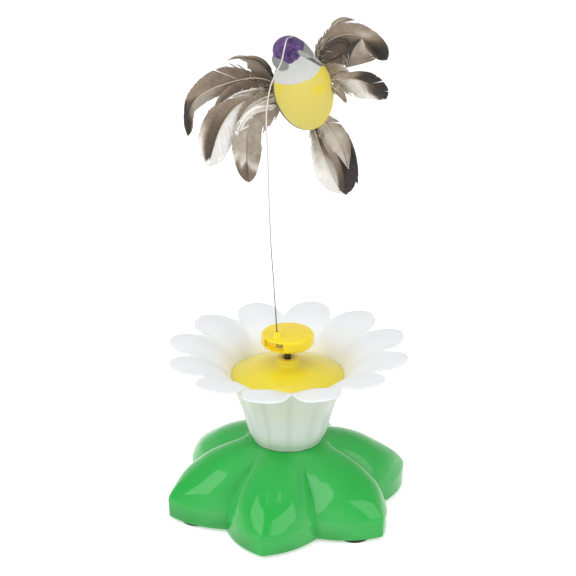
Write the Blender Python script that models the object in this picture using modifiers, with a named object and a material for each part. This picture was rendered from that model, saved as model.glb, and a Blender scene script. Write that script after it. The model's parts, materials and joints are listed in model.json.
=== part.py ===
"""Rotating bird cat toy: a battery base, a flower, a geared rotor and a feathered bird on a spring wire.

Metres, +Z up. The origin lies on the rotor's axis, in the plane that the feet stand on, and the first leaf
lobe of the base points along -Y. Every piece is a named object in the collection "rotating_bird_cat_toy".
"""

import math

import bmesh
import bpy
import numpy as np
from mathutils import Matrix, Vector

MM = 0.001

# Clearances that more than one piece uses
GAP = 0.3 * MM
RUNNING_GAP = 0.15 * MM
OVERRUN = 1.0 * MM

# Base shell: six pointed lobes
LOBES = 6
FIRST_LOBE = math.radians(-90)
BASE_TIP_R = 65.0 * MM
BASE_NOTCH_R = 47.5 * MM
BASE_RIM_Z = 2.0 * MM
BASE_TOP_Z = 37.2 * MM
BASE_SEAT_R = 20.5 * MM
BASE_WALL = 2.2 * MM
# The ridge of a lobe and the notch beside it, from the rim to the seat of the flower cup. Each row has the
# share of the way out from the seat and of the way up from the rim, for the ridge and for the notch, and how
# full the lobe is between them: 0 is a straight side, 1 is round over the ridge.
LEVEL_SHARES = (
    (0.990, 0.000, 1.000, 0.000, 0.42),
    (1.000, 0.213, 0.990, 0.190, 0.42),
    (0.968, 0.301, 0.956, 0.290, 0.46),
    (0.867, 0.472, 0.880, 0.425, 0.70),
    (0.766, 0.616, 0.750, 0.555, 0.90),
    (0.622, 0.781, 0.593, 0.690, 1.00),
    (0.479, 0.889, 0.426, 0.800, 1.00),
    (0.297, 0.974, 0.252, 0.895, 1.00),
    (0.112, 1.000, 0.074, 0.965, 1.00),
    (0.000, 1.000, 0.000, 1.000, 1.00),
)
HALF_LOBE_STEPS = 4

# Base plate, its feet and its screws
PLATE_Z = 2.8 * MM
PLATE_T = 3.2 * MM
PLATE_GAP = 0.5 * MM
FOOT_R = 6.0 * MM
FOOT_SINK = 1.2 * MM
FOOT_INSET = 15.0 * MM
FOOT_PLACE_R = BASE_TIP_R - FOOT_INSET
SCREW_INSET = 19.0 * MM
SCREW_PLACE_R = BASE_TIP_R - SCREW_INSET
SCREW_HEAD_R = 2.8 * MM
SCREW_HEAD_T = 1.7 * MM
SCREW_SHANK_R = 1.05 * MM
SCREW_L = 12.0 * MM
SCREW_WALL = 2.2 * MM
SCREW_STEPS = 8
# The flat of a screw's head, and the height where its rim starts to round, as shares of the head's size
HEAD_FLAT_SHARE = 0.8
HEAD_ROUND_SHARE = 0.33

# Battery bay
CELLS = 3
CELL_R = 7.25 * MM
CELL_L = 50.5 * MM
NUB_R = 2.75 * MM
NUB_L = 1.2 * MM
CELL_SPACE = 0.7 * MM
BAY_SIDE_GAP = 0.6 * MM
BAY_WALL = 1.4 * MM
SPRING_ROOM = 4.8 * MM
CONTACT_T = 0.5 * MM
CONTACT_H = 10.0 * MM
TAB_W = 3.0 * MM
TAB_RISE = 3.0 * MM
SPRING_R = 3.6 * MM
SPRING_WIRE_R = 0.35 * MM
SPRING_TURNS = 3
SPRING_STEPS = 8

# Battery door
DOOR_T = 1.8 * MM
DOOR_LEDGE = 1.5 * MM
DOOR_TAB_L = 1.5 * MM
DOOR_TAB_W = 7.0 * MM
DOOR_TAB_T = 1.1 * MM
DOOR_TAB_PLACE = 13.0 * MM
DOOR_SCREW_R = 1.0 * MM
DOOR_SCREW_HEAD_R = 2.0 * MM
DOOR_SCREW_HEAD_T = 0.9 * MM
DOOR_EAR_R = 4.2 * MM

# Slide switch
SWITCH_L = 13.0 * MM
SWITCH_W = 6.0 * MM
SWITCH_H = 4.5 * MM
SWITCH_PLACE = 34.5 * MM
SWITCH_TRAVEL = 3.5 * MM
KNOB_L = 2.8 * MM
KNOB_W = 2.4 * MM
KNOB_PROUD = 0.5 * MM
KNOB_GRIP = 1.2 * MM

# Flower cup: the ridge of a petal and the groove beside it, from the floor to the edge. The radii run from
# the collar to the petal's tip, and the heights from the floor to the petal's top, as shares.
PETALS = 12
CUP_FLOOR_Z = 39.1 * MM
CUP_TOP_Z = 86.2 * MM
CUP_FLOOR_T = 1.6 * MM
CUP_WALL = 1.7 * MM
PETAL_EDGE_WALL_SHARE = 0.62
COLLAR_R = 15.6 * MM
COLLAR_T = 1.0 * MM
COLLAR_DROP = 4.0 * MM
PETAL_TIP_R = 61.8 * MM
PETAL_HALF_W = 11.6 * MM
PETAL_ROUND_L = 10.4 * MM
PETAL_NOTCH_R = 49.3 * MM
CUP_SHARES = (
    (0.037, 0.000, 0.037, 0.000),
    (0.058, 0.021, 0.050, 0.021),
    (0.145, 0.338, 0.124, 0.338),
    (0.266, 0.667, 0.252, 0.667),
    (0.362, 0.832, 0.355, 0.800),
    (0.485, 0.947, 0.485, 0.878),
    (0.630, 0.989, 0.590, 0.915),
    (0.815, 1.000, 0.672, 0.941),
    (1.000, 0.994, 0.729, 0.962),
)
EDGE_RINGS = 3
PETAL_COLUMN_SHARES = (0.0, 0.5, 0.84)

# Flower centre, the yellow dome over the gearbox
DOME_RIM_Z = 73.0 * MM
DOME_CROWN_Z = 79.5 * MM
DOME_LIP = 2.0 * MM
DOME_WALL = 1.6 * MM
DOME_COLLAR_R = 5.7 * MM
DOME_COLLAR_H = 2.5 * MM
DOME_STEPS = 32
POST_R = 2.6 * MM
POST_PLACE_R = 18.9 * MM
POSTS = 3
FIRST_POST = math.radians(150)
# Rings of the dome, inside and outside, as shares of the way out from its collar
DOME_SHARES = (0, 0.25, 0.5, 0.75, 0.9, 1)
CAVITY_SHARES = (0.33, 0.66, 1)

# Shaft, bush and rotor
SHAFT_R = 1.75 * MM
JOURNAL_R = 1.0 * MM
BUSH_R = 3.2 * MM
BUSH_RISE = 0.5 * MM
ROTOR_Z = 90.7 * MM
ROTOR_T = 6.0 * MM
ROTOR_R = 13.3 * MM
ROTOR_EDGE = 1.1 * MM
ROTOR_BORE_L = 4.0 * MM
# The rotor stands turned by this much from the lobe that points along -Y, as in the photo
ROTOR_TURN = math.radians(11.58)
BOSS_PLACE = Vector((-5.3 * MM, -5.2 * MM, 0))
BOSS_R = 2.4 * MM
BOSS_TOP_R = 1.8 * MM
BOSS_H = 2.8 * MM
RECESS_W = 11.0 * MM
RECESS_H = 3.9 * MM
RECESS_FLOOR = 1.2 * MM
RECESS_START = 5.6 * MM
RECESS_TURN = math.radians(-127)

# Gears: two stages of the same two tooth counts
GEAR_MODULE = 0.5 * MM
SMALL_TEETH = 8
LARGE_TEETH = 36
# Half a tooth's width at its root and at its tip, as shares of the pitch
ROOT_WIDTH_SHARE = 0.296
TIP_WIDTH_SHARE = 0.112
ADDENDUM_SHARE = 0.9
DEDENDUM_SHARE = 1.2
GEAR_T = 3.0 * MM
PINION_L = 3.5 * MM
LEVEL_GAP = 0.6 * MM
IDLER_PIN_R = 0.75 * MM
MOTOR_OFFSET = 5.5 * MM

# Gearbox
GEARBOX_Z = 58.0 * MM
GEARBOX_T = 1.6 * MM
GEARBOX_WALL = 1.0 * MM
GEAR_ROOM = 0.6 * MM
COVER_T = 1.6 * MM
COVER_SKIRT = 1.6 * MM
GEARBOX_SCREW_R = 1.0 * MM
GEARBOX_SCREW_L = 8.0 * MM
GEARBOX_SCREW_HEAD_R = 1.9 * MM
GEARBOX_SCREW_HEAD_T = 1.3 * MM

# Motor of the common 20 by 15 mm size
MOTOR_R = 10.05 * MM
MOTOR_FLAT = 7.55 * MM
MOTOR_CAN_L = 20.5 * MM
MOTOR_CAP_L = 4.5 * MM
MOTOR_BOSS_R = 3.0 * MM
MOTOR_BOSS_H = 1.4 * MM
MOTOR_SHAFT_R = 1.0 * MM
MOTOR_SHAFT_SINK = 3.0 * MM
CRADLE_L = 9.0 * MM
CRADLE_T = 1.0 * MM
TERMINAL_W = 2.4 * MM
TERMINAL_T = 0.5 * MM
TERMINAL_L = 3.0 * MM
TERMINAL_PLACE = 6.0 * MM
LEAD_R = 0.7 * MM

# Wire, in the rotor's own frame
WIRE_R = 0.4 * MM
WIRE_STEPS = 34
THROAT_Z = 96.2 * MM
WIRE_FLARE_R = 1.3 * MM
WIRE_BORE_R = 0.75 * MM
HOOK_DROP = 2.9 * MM
HOOK_L = 3.4 * MM
HOOK_RISE = 1.1 * MM
# How far the wire's end lies from its throat, and the places between them as shares of that: the wire bows
# the other way first, and its top curls over the bird's head
WIRE_REACH = Vector((7.7 * MM, 5.8 * MM, 156.8 * MM))
WIRE_SHARES = (
    (-0.169, 0.000, 0.149),
    (-0.377, 0.000, 0.311),
    (-0.506, 0.000, 0.476),
    (-0.584, 0.000, 0.634),
    (-0.662, -0.017, 0.756),
    (-0.455, -0.121, 0.840),
    (-0.143, -0.276, 0.889),
    (0.299, -0.362, 0.937),
    (0.481, -0.207, 0.976),
    (0.662, 0.310, 1.002),
    (1.0, 1.0, 1.0),
)

# Bird, in the rotor's own frame
BODY_AT = Vector((7.6 * MM, 8.5 * MM, 222.2 * MM))
BODY_HALF = Vector((15.3 * MM, 14.0 * MM, 20.4 * MM))
BODY_LEAN_SHARES = Vector((-0.22, -0.10, 1.0))
BODY_TAPER_SHARE = 0.16
HEAD_AT = Vector((0.6 * MM, 3.0 * MM, 245.6 * MM))
HEAD_HALF = Vector((8.0 * MM, 8.2 * MM, 7.0 * MM))
BEAK_AT = Vector((3.6 * MM, -5.4 * MM, 245.6 * MM))
BEAK_R = 2.1 * MM
BEAK_L = 4.2 * MM
FEATHER_T = 0.5 * MM
FEATHER_STEPS = 8
# Along a feather: where its quill ends, where the blade is at its full width, and where its tip rounds
QUILL_SHARE = 0.2
FULL_SHARE = 0.7
ROUND_SHARE = 0.72
# The quill's width and the blunt tip's width, as shares of the blade's
QUILL_WIDTH_SHARE = 0.14
TIP_END_SHARE = 0.16
# Each feather: its name, then where it leaves the bird, a place that it bends through and its tip, across and
# up from the middle of the body, then half its width and how far behind the body's middle its root and its
# tip lie. All are shares of half the body's length.
FEATHER_SHARES = (
    ("wing_left_top", (-0.47, 0.19), (-1.06, 0.97), (-1.79, 0.70), 0.30, 0.30, 0.12),
    ("wing_left_main", (-0.47, 0.04), (-1.75, 0.92), (-2.77, -1.19), 0.40, 0.21, -0.02),
    ("wing_left_inner", (-0.42, -0.06), (-1.45, 0.38), (-2.24, -0.55), 0.28, 0.14, -0.08),
    ("wing_left_low", (-0.42, -0.21), (-2.24, -0.50), (-2.38, -1.97), 0.38, 0.03, -0.22),
    ("wing_left_front", (-0.37, -0.30), (-1.35, -0.70), (-1.40, -2.22), 0.47, -0.05, -0.32),
    ("wing_right_top", (0.31, 0.73), (0.51, 1.85), (1.25, 1.80), 0.14, 0.31, 0.56),
    ("wing_right_main", (0.31, 0.68), (0.90, 1.95), (2.13, 0.87), 0.36, 0.21, 0.47),
    ("wing_right_arc", (0.36, 0.58), (0.71, 1.46), (1.20, 0.87), 0.26, 0.11, 0.17),
    ("wing_right_mid", (0.41, 0.48), (1.10, 1.17), (1.83, 0.68), 0.25, 0.01, 0.01),
    ("wing_right_low", (0.46, 0.28), (1.39, 0.53), (2.03, -0.25), 0.27, -0.08, -0.08),
    ("wing_right_down", (0.46, 0.14), (0.80, 0.09), (1.05, -0.30), 0.15, -0.18, -0.23),
    ("tail_light", (0.07, -0.70), (0.12, -1.48), (0.90, -2.61), 0.26, 0.22, 0.32),
    ("tail_front", (0.31, -0.70), (0.90, -0.84), (1.15, -2.07), 0.33, -0.04, -0.02),
    ("tail_side", (0.26, -0.70), (1.20, -1.28), (1.39, -2.36), 0.20, 0.13, 0.19),
    ("tail_mid", (0.22, -0.70), (0.71, -1.38), (1.10, -2.66), 0.24, 0.04, 0.08),
)

COLLECTION = bpy.data.collections.new("rotating_bird_cat_toy")
CUTTERS = bpy.data.collections.new("cutters")


def clear_scene():
    """Empty the startup scene and add the two collections."""
    for obj in list(bpy.data.objects):
        bpy.data.objects.remove(obj, do_unlink=True)
    bpy.context.scene.collection.children.link(COLLECTION)
    bpy.context.scene.collection.children.link(CUTTERS)


def plastic(name, colour, roughness, metallic=0.0):
    """A Principled material with its colour, roughness and metallic value."""
    made = bpy.data.materials.new(name)
    made.use_nodes = True
    shader = made.node_tree.nodes["Principled BSDF"]
    shader.inputs["Base Color"].default_value = (*colour, 1)
    shader.inputs["Roughness"].default_value = roughness
    shader.inputs["Metallic"].default_value = metallic
    return made


GREEN = plastic("green_gloss", (0.045, 0.48, 0.09), 0.12)
WHITE = plastic("petal_white", (0.83, 0.85, 0.86), 0.3)
YELLOW = plastic("centre_yellow", (0.80, 0.68, 0.05), 0.18)
ROTOR_YELLOW = plastic("rotor_yellow", (0.95, 0.72, 0.03), 0.3)
RUBBER = plastic("black_rubber", (0.01, 0.01, 0.01), 0.8)
BLACK = plastic("black_plastic", (0.02, 0.02, 0.02), 0.4)
GREY = plastic("gearbox_grey", (0.35, 0.36, 0.37), 0.5)
NYLON = plastic("gear_nylon", (0.8, 0.79, 0.73), 0.45)
STEEL = plastic("steel", (0.6, 0.6, 0.62), 0.25, 1.0)
BRASS = plastic("brass", (0.75, 0.55, 0.22), 0.3, 1.0)
CELL = plastic("cell_sleeve", (0.05, 0.06, 0.1), 0.3)
RED = plastic("lead_red", (0.6, 0.02, 0.02), 0.5)
FOAM_YELLOW = plastic("foam_yellow", (0.80, 0.62, 0.08), 0.6)
FOAM_PURPLE = plastic("foam_purple", (0.10, 0.04, 0.20), 0.6)
FEATHER = plastic("feather", (0.30, 0.24, 0.19), 0.7)


def add_object(name, mesh, material, cutter=False):
    """Put a mesh in the scene as a piece, or as a cutter that neither renders nor becomes a piece."""
    obj = bpy.data.objects.new(name, mesh)
    (CUTTERS if cutter else COLLECTION).objects.link(obj)
    if cutter:
        obj.hide_render = True
        obj.display_type = "WIRE"
    else:
        mesh.materials.append(material)
        mesh.shade_smooth()
        mesh.set_sharp_from_angle(angle=math.radians(35))
    return obj


def mesh_of(name, points, faces):
    """A mesh with its faces turned to point outwards."""
    mesh = bpy.data.meshes.new(name)
    mesh.from_pydata([tuple(p) for p in points], [], faces)
    work = bmesh.new()
    work.from_mesh(mesh)
    bmesh.ops.recalc_face_normals(work, faces=work.faces)
    work.to_mesh(mesh)
    work.free()
    return mesh


def cylinder(name, radius, low, high, at=(0, 0), steps=24, top_radius=None, material=None):
    """An upright cylinder or cone from one height to another, made a cutter if it has no material."""
    mesh = bpy.data.meshes.new(name)
    work = bmesh.new()
    end_radius = radius if top_radius is None else top_radius
    bmesh.ops.create_cone(
        work, cap_ends=True, segments=steps, radius1=radius, radius2=end_radius, depth=high - low
    )
    work.to_mesh(mesh)
    work.free()
    obj = add_object(name, mesh, material, cutter=material is None)
    obj.location = (at[0], at[1], (low + high) / 2)
    return obj


def box(name, low, high, material=None):
    """A box between two corners, made a cutter if it has no material."""
    low, high = Vector(low), Vector(high)
    mesh = bpy.data.meshes.new(name)
    work = bmesh.new()
    bmesh.ops.create_cube(work, size=1, matrix=Matrix.Diagonal((*(high - low), 1)))
    work.to_mesh(mesh)
    work.free()
    obj = add_object(name, mesh, material, cutter=material is None)
    obj.location = (low + high) / 2
    return obj


def prism(name, outline, low, high, material=None):
    """A flat outline, counter-clockwise, drawn up from one height to another."""
    count = len(outline)
    points = [(x, y, z) for z in (low, high) for x, y in outline]
    sides = [(i, (i + 1) % count, count + (i + 1) % count, count + i) for i in range(count)]
    caps = [tuple(range(count))[::-1], tuple(range(count, 2 * count))]
    return add_object(name, mesh_of(name, points, sides + caps), material, cutter=material is None)


def turned(name, profile, steps, material=None):
    """A profile of radii and heights, running down its outer side, turned about Z with a Screw modifier."""
    mesh = bpy.data.meshes.new(name)
    count = len(profile)
    closed = profile[0][0] > 0 or profile[-1][0] > 0
    edges = [(i, (i + 1) % count) for i in range(count if closed else count - 1)]
    mesh.from_pydata([(r, 0, z) for r, z in profile], edges, [])
    obj = add_object(name, mesh, material, cutter=material is None)
    screw = obj.modifiers.new("turn", "SCREW")
    screw.steps = screw.render_steps = steps
    screw.use_merge_vertices = True
    screw.merge_threshold = 1e-6
    return obj


def cut(obj, cutter, operation="DIFFERENCE"):
    """Cut another object out of this one, or join or keep what they share."""
    boolean = obj.modifiers.new(cutter.name, "BOOLEAN")
    boolean.operation = operation
    boolean.object = cutter
    boolean.solver = "EXACT"
    return obj


def join(obj, other):
    """Join another object to this one."""
    return cut(obj, other, "UNION")


def tube(name, places, radius, material, sides=1, smooth=2):
    """A wire along a smooth curve through places, as a curve object with a bevel and filled caps."""
    route = smooth_route(places, smooth)
    curve = bpy.data.curves.new(name, "CURVE")
    curve.dimensions = "3D"
    curve.bevel_depth = radius
    curve.bevel_resolution = sides
    curve.use_fill_caps = True
    spline = curve.splines.new("POLY")
    spline.points.add(len(route) - 1)
    for point, place in zip(spline.points, route):
        point.co = (*place, 1)
    curve.materials.append(material)
    obj = bpy.data.objects.new(name, curve)
    COLLECTION.objects.link(obj)
    return obj


def smooth_route(places, between):
    """Points along a smooth curve through places, with some between each two."""
    places = [Vector(p) for p in places]
    if between < 2:
        return places
    ends = [2 * places[0] - places[1], *places, 2 * places[-1] - places[-2]]
    route = []
    for before, start, end, after in zip(ends, ends[1:], ends[2:], ends[3:]):
        for step in range(between):
            t = step / between
            route.append(
                0.5
                * (
                    2 * start
                    + (end - before) * t
                    + (2 * before - 5 * start + 4 * end - after) * t**2
                    + (3 * start - before - 3 * end + after) * t**3
                )
            )
    return [*route, places[-1]]


def polar(radius, angle):
    """The place at a radius and an angle."""
    return Vector((radius * math.cos(angle), radius * math.sin(angle)))


def lobe_ring(tip_r, tip_z, notch_r, notch_z, fullness):
    """One closed ring of the base, which goes from notch to tip and back on each lobe."""
    half = math.pi / LOBES
    notch, tip = polar(notch_r, half), Vector((tip_r, 0))
    chord = tip - notch
    to_round = math.tan(math.pi / 2 - math.atan2(notch.y, tip_r - notch.x)) / 4
    side = Vector((-chord.y, chord.x)).normalized()
    ring = []
    for lobe in range(LOBES):
        turn = Matrix.Rotation(FIRST_LOBE + lobe * 2 * half, 2)
        for step in range(-HALF_LOBE_STEPS, HALF_LOBE_STEPS):
            t = math.cos(math.pi / 2 * step / HALF_LOBE_STEPS)
            bulge = 4 * t * (1 - t) * fullness * to_round * chord.length
            flat = notch + chord * t + side * abs(bulge)
            place = turn @ Vector((flat.x, flat.y if step > 0 else -flat.y))
            ring.append((place.x, place.y, notch_z + (tip_z - notch_z) * t * (2 - t)))
    return ring


def base_grid():
    """The outer surface of the base, as rings from the rim up to the seat of the flower cup."""
    rise = BASE_TOP_Z - BASE_RIM_Z
    rings = []
    for tip_out, tip_up, notch_out, notch_up, fullness in LEVEL_SHARES:
        rings.append(
            lobe_ring(
                BASE_SEAT_R + tip_out * (BASE_TIP_R - BASE_SEAT_R),
                BASE_RIM_Z + tip_up * rise,
                BASE_SEAT_R + notch_out * (BASE_NOTCH_R - BASE_SEAT_R),
                BASE_RIM_Z + notch_up * rise,
                fullness,
            )
        )
    return np.array(rings)


def inset(grid, distance):
    """The surface that lies this far inside a grid of rings."""
    along = np.roll(grid, -1, axis=1) - grid
    up = grid[1:] - grid[:-1]
    normals = np.cross(along[:-1], up)
    normals /= np.linalg.norm(normals, axis=2, keepdims=True)
    normals = (normals + np.roll(normals, 1, axis=1)) / 2
    mean = np.concatenate([normals[:1], (normals[1:] + normals[:-1]) / 2, normals[-1:]])
    length = np.linalg.norm(mean, axis=2, keepdims=True)
    return grid - mean / length * distance / np.maximum(length, 0.7)


def ring_solid(name, grid, material=None):
    """A closed solid from rings of points, with a flat cap on its first and last ring."""
    rings, columns = grid.shape[:2]
    points = grid.reshape(-1, 3)
    faces = []
    for ring in range(rings - 1):
        for column in range(columns):
            after = (column + 1) % columns
            here, above = ring * columns, (ring + 1) * columns
            faces.append((here + column, here + after, above + after, above + column))
    faces.append(tuple(range(columns)))
    faces.append(tuple(range((rings - 1) * columns, rings * columns)))
    return add_object(name, mesh_of(name, points, faces), material, cutter=material is None)


def lobe_place(radius, lobe):
    """A place on the ridge of a lobe."""
    return polar(radius, FIRST_LOBE + lobe * 2 * math.pi / LOBES)


SCREW_LOBES = (0, 2, 4)
FOOT_LOBES = (1, 3, 5)
PLATE_TOP = PLATE_Z + PLATE_T
CELL_Z = PLATE_Z + DOOR_T + GAP + CELL_R
CELL_PITCH = 2 * CELL_R + CELL_SPACE
BAY_HALF_W = (CELL_PITCH * (CELLS - 1)) / 2 + CELL_R + BAY_SIDE_GAP
BAY_HALF_L = (CELL_L + SPRING_ROOM + 2 * (CONTACT_T + GAP)) / 2
BAY_ROOF_Z = CELL_Z + CELL_R + GAP
BAY_TOP_Z = BAY_ROOF_Z + BAY_WALL
DOOR_HALF_L = BAY_HALF_L + DOOR_LEDGE
DOOR_HALF_W = BAY_HALF_W + DOOR_LEDGE
DOOR_Z = PLATE_Z + DOOR_T


def make_base():
    """The green shell: its solid, less a cavity that leaves the wall and three screw posts."""
    outer = base_grid()
    shell = ring_solid("base_shell", outer, GREEN)
    inner = inset(outer, BASE_WALL)
    mouth = inner[:1].copy()
    mouth[:, :, 2] = BASE_RIM_Z - OVERRUN
    cavity = ring_solid("base_cavity", np.concatenate([mouth, inner]))
    post_r = SCREW_SHANK_R + GAP + SCREW_WALL
    for lobe in SCREW_LOBES:
        at = lobe_place(SCREW_PLACE_R, lobe)
        post = cylinder(f"screw_post_{lobe}", post_r, PLATE_TOP + GAP, BASE_TOP_Z + OVERRUN, at, 12)
        cut(cavity, post)
    cut(shell, cavity)
    hole_r = COLLAR_R + COLLAR_T + GAP
    cut(shell, cylinder("base_hole", hole_r, BASE_RIM_Z, BASE_TOP_Z + OVERRUN, steps=36))
    for lobe in SCREW_LOBES:
        at = lobe_place(SCREW_PLACE_R, lobe)
        pilot_top = PLATE_Z + SCREW_L + 2 * GAP
        cut(shell, cylinder(f"pilot_{lobe}", SCREW_SHANK_R + GAP, PLATE_TOP - OVERRUN, pilot_top, at, 10))


def make_plate():
    """The base plate with the battery bay, its door seat, the switch slot and the seats of screws and feet."""
    outline = inset(base_grid(), BASE_WALL + PLATE_GAP)[0][:, :2]
    plate = prism("base_plate", outline, PLATE_Z, PLATE_TOP, GREEN)
    wall_l, wall_w = BAY_HALF_L + BAY_WALL, BAY_HALF_W + BAY_WALL
    join(plate, box("bay_block", (-wall_l, -wall_w, DOOR_Z), (wall_l, wall_w, BAY_TOP_Z)))
    block_r = DOOR_SCREW_R + 2 * GAP + SCREW_WALL
    join(plate, cylinder("door_screw_post", block_r, DOOR_Z, PLATE_TOP + DOOR_T, (DOOR_HALF_L, 0), 16))
    low = (-BAY_HALF_L, -BAY_HALF_W, PLATE_Z - OVERRUN)
    cut(plate, box("bay_room", low, (BAY_HALF_L, BAY_HALF_W, BAY_ROOF_Z)))
    seat = Vector((DOOR_HALF_L + GAP, DOOR_HALF_W + GAP, 0))
    cut(plate, box("door_seat", (-seat.x, -seat.y, PLATE_Z - OVERRUN), (seat.x, seat.y, DOOR_Z + GAP / 2)))
    ear_r = DOOR_EAR_R + GAP
    cut(plate, cylinder("ear_seat", ear_r, PLATE_Z - OVERRUN, DOOR_Z + GAP / 2, (DOOR_HALF_L, 0), 20))
    hole_top = PLATE_TOP + DOOR_T - GAP
    cut(plate, cylinder("door_screw_hole", DOOR_SCREW_R + 2 * GAP, PLATE_Z, hole_top, (DOOR_HALF_L, 0), 12))
    for side in (-1, 1):
        y = side * DOOR_TAB_PLACE
        half = DOOR_TAB_W / 2 + GAP
        low = (-DOOR_HALF_L - DOOR_TAB_L - 2 * GAP, y - half, PLATE_Z + GAP)
        high = (-DOOR_HALF_L + DOOR_TAB_L, y + half, PLATE_TOP - 2 * GAP)
        cut(plate, box(f"tab_pocket_{side}", low, high))
        slot_x = side * (BAY_HALF_L - GAP - CONTACT_T / 2)
        slot_y = side * CELL_PITCH
        reach = CONTACT_T / 2 + GAP
        low = (slot_x - reach, slot_y - TAB_W / 2 - GAP, BAY_ROOF_Z - OVERRUN)
        high = (slot_x + reach, slot_y + TAB_W / 2 + GAP, BAY_TOP_Z + OVERRUN)
        cut(plate, box(f"contact_slot_{side}", low, high))
    slot_l, slot_w = (SWITCH_TRAVEL + KNOB_L) / 2 + GAP, KNOB_W / 2 + GAP
    low = (-slot_l, -SWITCH_PLACE - slot_w, PLATE_Z - OVERRUN)
    cut(plate, box("switch_slot", low, (slot_l, -SWITCH_PLACE + slot_w, PLATE_TOP + OVERRUN)))
    for lobe in SCREW_LOBES:
        at = lobe_place(SCREW_PLACE_R, lobe)
        head_top = PLATE_Z + GAP + SCREW_HEAD_T + GAP
        cut(plate, cylinder(f"screw_seat_{lobe}", SCREW_HEAD_R + GAP, PLATE_Z - OVERRUN, head_top, at, 16))
        cut(plate, cylinder(f"screw_hole_{lobe}", SCREW_SHANK_R + GAP, PLATE_Z, PLATE_TOP + OVERRUN, at, 12))
    for lobe in FOOT_LOBES:
        at = lobe_place(FOOT_PLACE_R, lobe)
        cut(plate, cylinder(f"foot_seat_{lobe}", FOOT_R + GAP, PLATE_Z - OVERRUN, PLATE_Z + FOOT_SINK, at, 20))


def make_feet():
    """Three rubber pads in the round seats of the base plate."""
    for number, lobe in enumerate(FOOT_LOBES, 1):
        top = PLATE_Z + FOOT_SINK - GAP
        foot = cylinder(f"foot_{number}", FOOT_R, 0, top, lobe_place(FOOT_PLACE_R, lobe), 16, material=RUBBER)
        bevel = foot.modifiers.new("edge", "BEVEL")
        bevel.width = GAP
        bevel.segments = 1
        bevel.limit_method = "ANGLE"


def pan_screw(name, shank_r, length, head_r, head_t, material=STEEL):
    """A pan-head screw with its head down at its own origin and a pointed end up, as one turned solid."""
    tip = length - shank_r
    profile = [
        (0, length),
        (shank_r / 2, length),
        (shank_r, tip),
        (shank_r, head_t),
        (head_r, head_t),
        (head_r, head_t * HEAD_ROUND_SHARE),
        (head_r * HEAD_FLAT_SHARE, 0),
        (0, 0),
    ]
    return turned(name, profile, SCREW_STEPS, material)


def make_base_screws():
    """Three screws that hold the plate to the posts of the shell."""
    for number, lobe in enumerate(SCREW_LOBES, 1):
        screw = pan_screw(f"base_screw_{number}", SCREW_SHANK_R, SCREW_L, SCREW_HEAD_R, SCREW_HEAD_T)
        screw.location = (*lobe_place(SCREW_PLACE_R, lobe), PLATE_Z + GAP)


def make_cells():
    """Three cells in series, turned end for end, each with its spring and its contact plates."""
    plate_x = BAY_HALF_L - GAP - CONTACT_T
    for number in range(CELLS):
        side = 1 if number % 2 == 0 else -1
        y = (number - (CELLS - 1) / 2) * CELL_PITCH
        nub_end = plate_x - GAP
        profile = [(0, nub_end), (NUB_R, nub_end), (NUB_R, nub_end - NUB_L), (CELL_R, nub_end - NUB_L)]
        profile += [(CELL_R, nub_end - CELL_L), (0, nub_end - CELL_L)]
        cell = turned(f"battery_cell_{number + 1}", profile, 20, CELL)
        cell.rotation_euler = (0, side * math.pi / 2, 0)
        cell.location = (0, y, CELL_Z)
        low = nub_end - CELL_L - GAP - SPRING_WIRE_R
        high = -plate_x + GAP + SPRING_WIRE_R
        steps = SPRING_TURNS * SPRING_STEPS
        coil = []
        for step in range(steps + 1):
            turn = 2 * math.pi * step / SPRING_STEPS
            along = side * (high + (low - high) * step / steps)
            coil.append((along, y + SPRING_R * math.cos(turn), CELL_Z + SPRING_R * math.sin(turn)))
        tube(f"battery_spring_{number + 1}", coil, SPRING_WIRE_R, STEEL, sides=0, smooth=1)
    half_h = CONTACT_H / 2
    reach = CELL_R - GAP
    plates = (
        ("contact_start", -1, -CELL_PITCH - reach, -CELL_PITCH + reach, -CELL_PITCH),
        ("contact_bridge_near", 1, -CELL_PITCH - reach, reach, None),
        ("contact_bridge_far", -1, -reach, CELL_PITCH + reach, None),
        ("contact_end", 1, CELL_PITCH - reach, CELL_PITCH + reach, CELL_PITCH),
    )
    for name, side, low_y, high_y, tab_y in plates:
        near, far = sorted((side * plate_x, side * (plate_x + CONTACT_T)))
        plate = box(name, (near, low_y, CELL_Z - half_h), (far, high_y, CELL_Z + half_h), STEEL)
        if tab_y is not None:
            low = (near, tab_y - TAB_W / 2, CELL_Z)
            join(plate, box(name + "_tab", low, (far, tab_y + TAB_W / 2, BAY_TOP_Z + TAB_RISE)))


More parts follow.
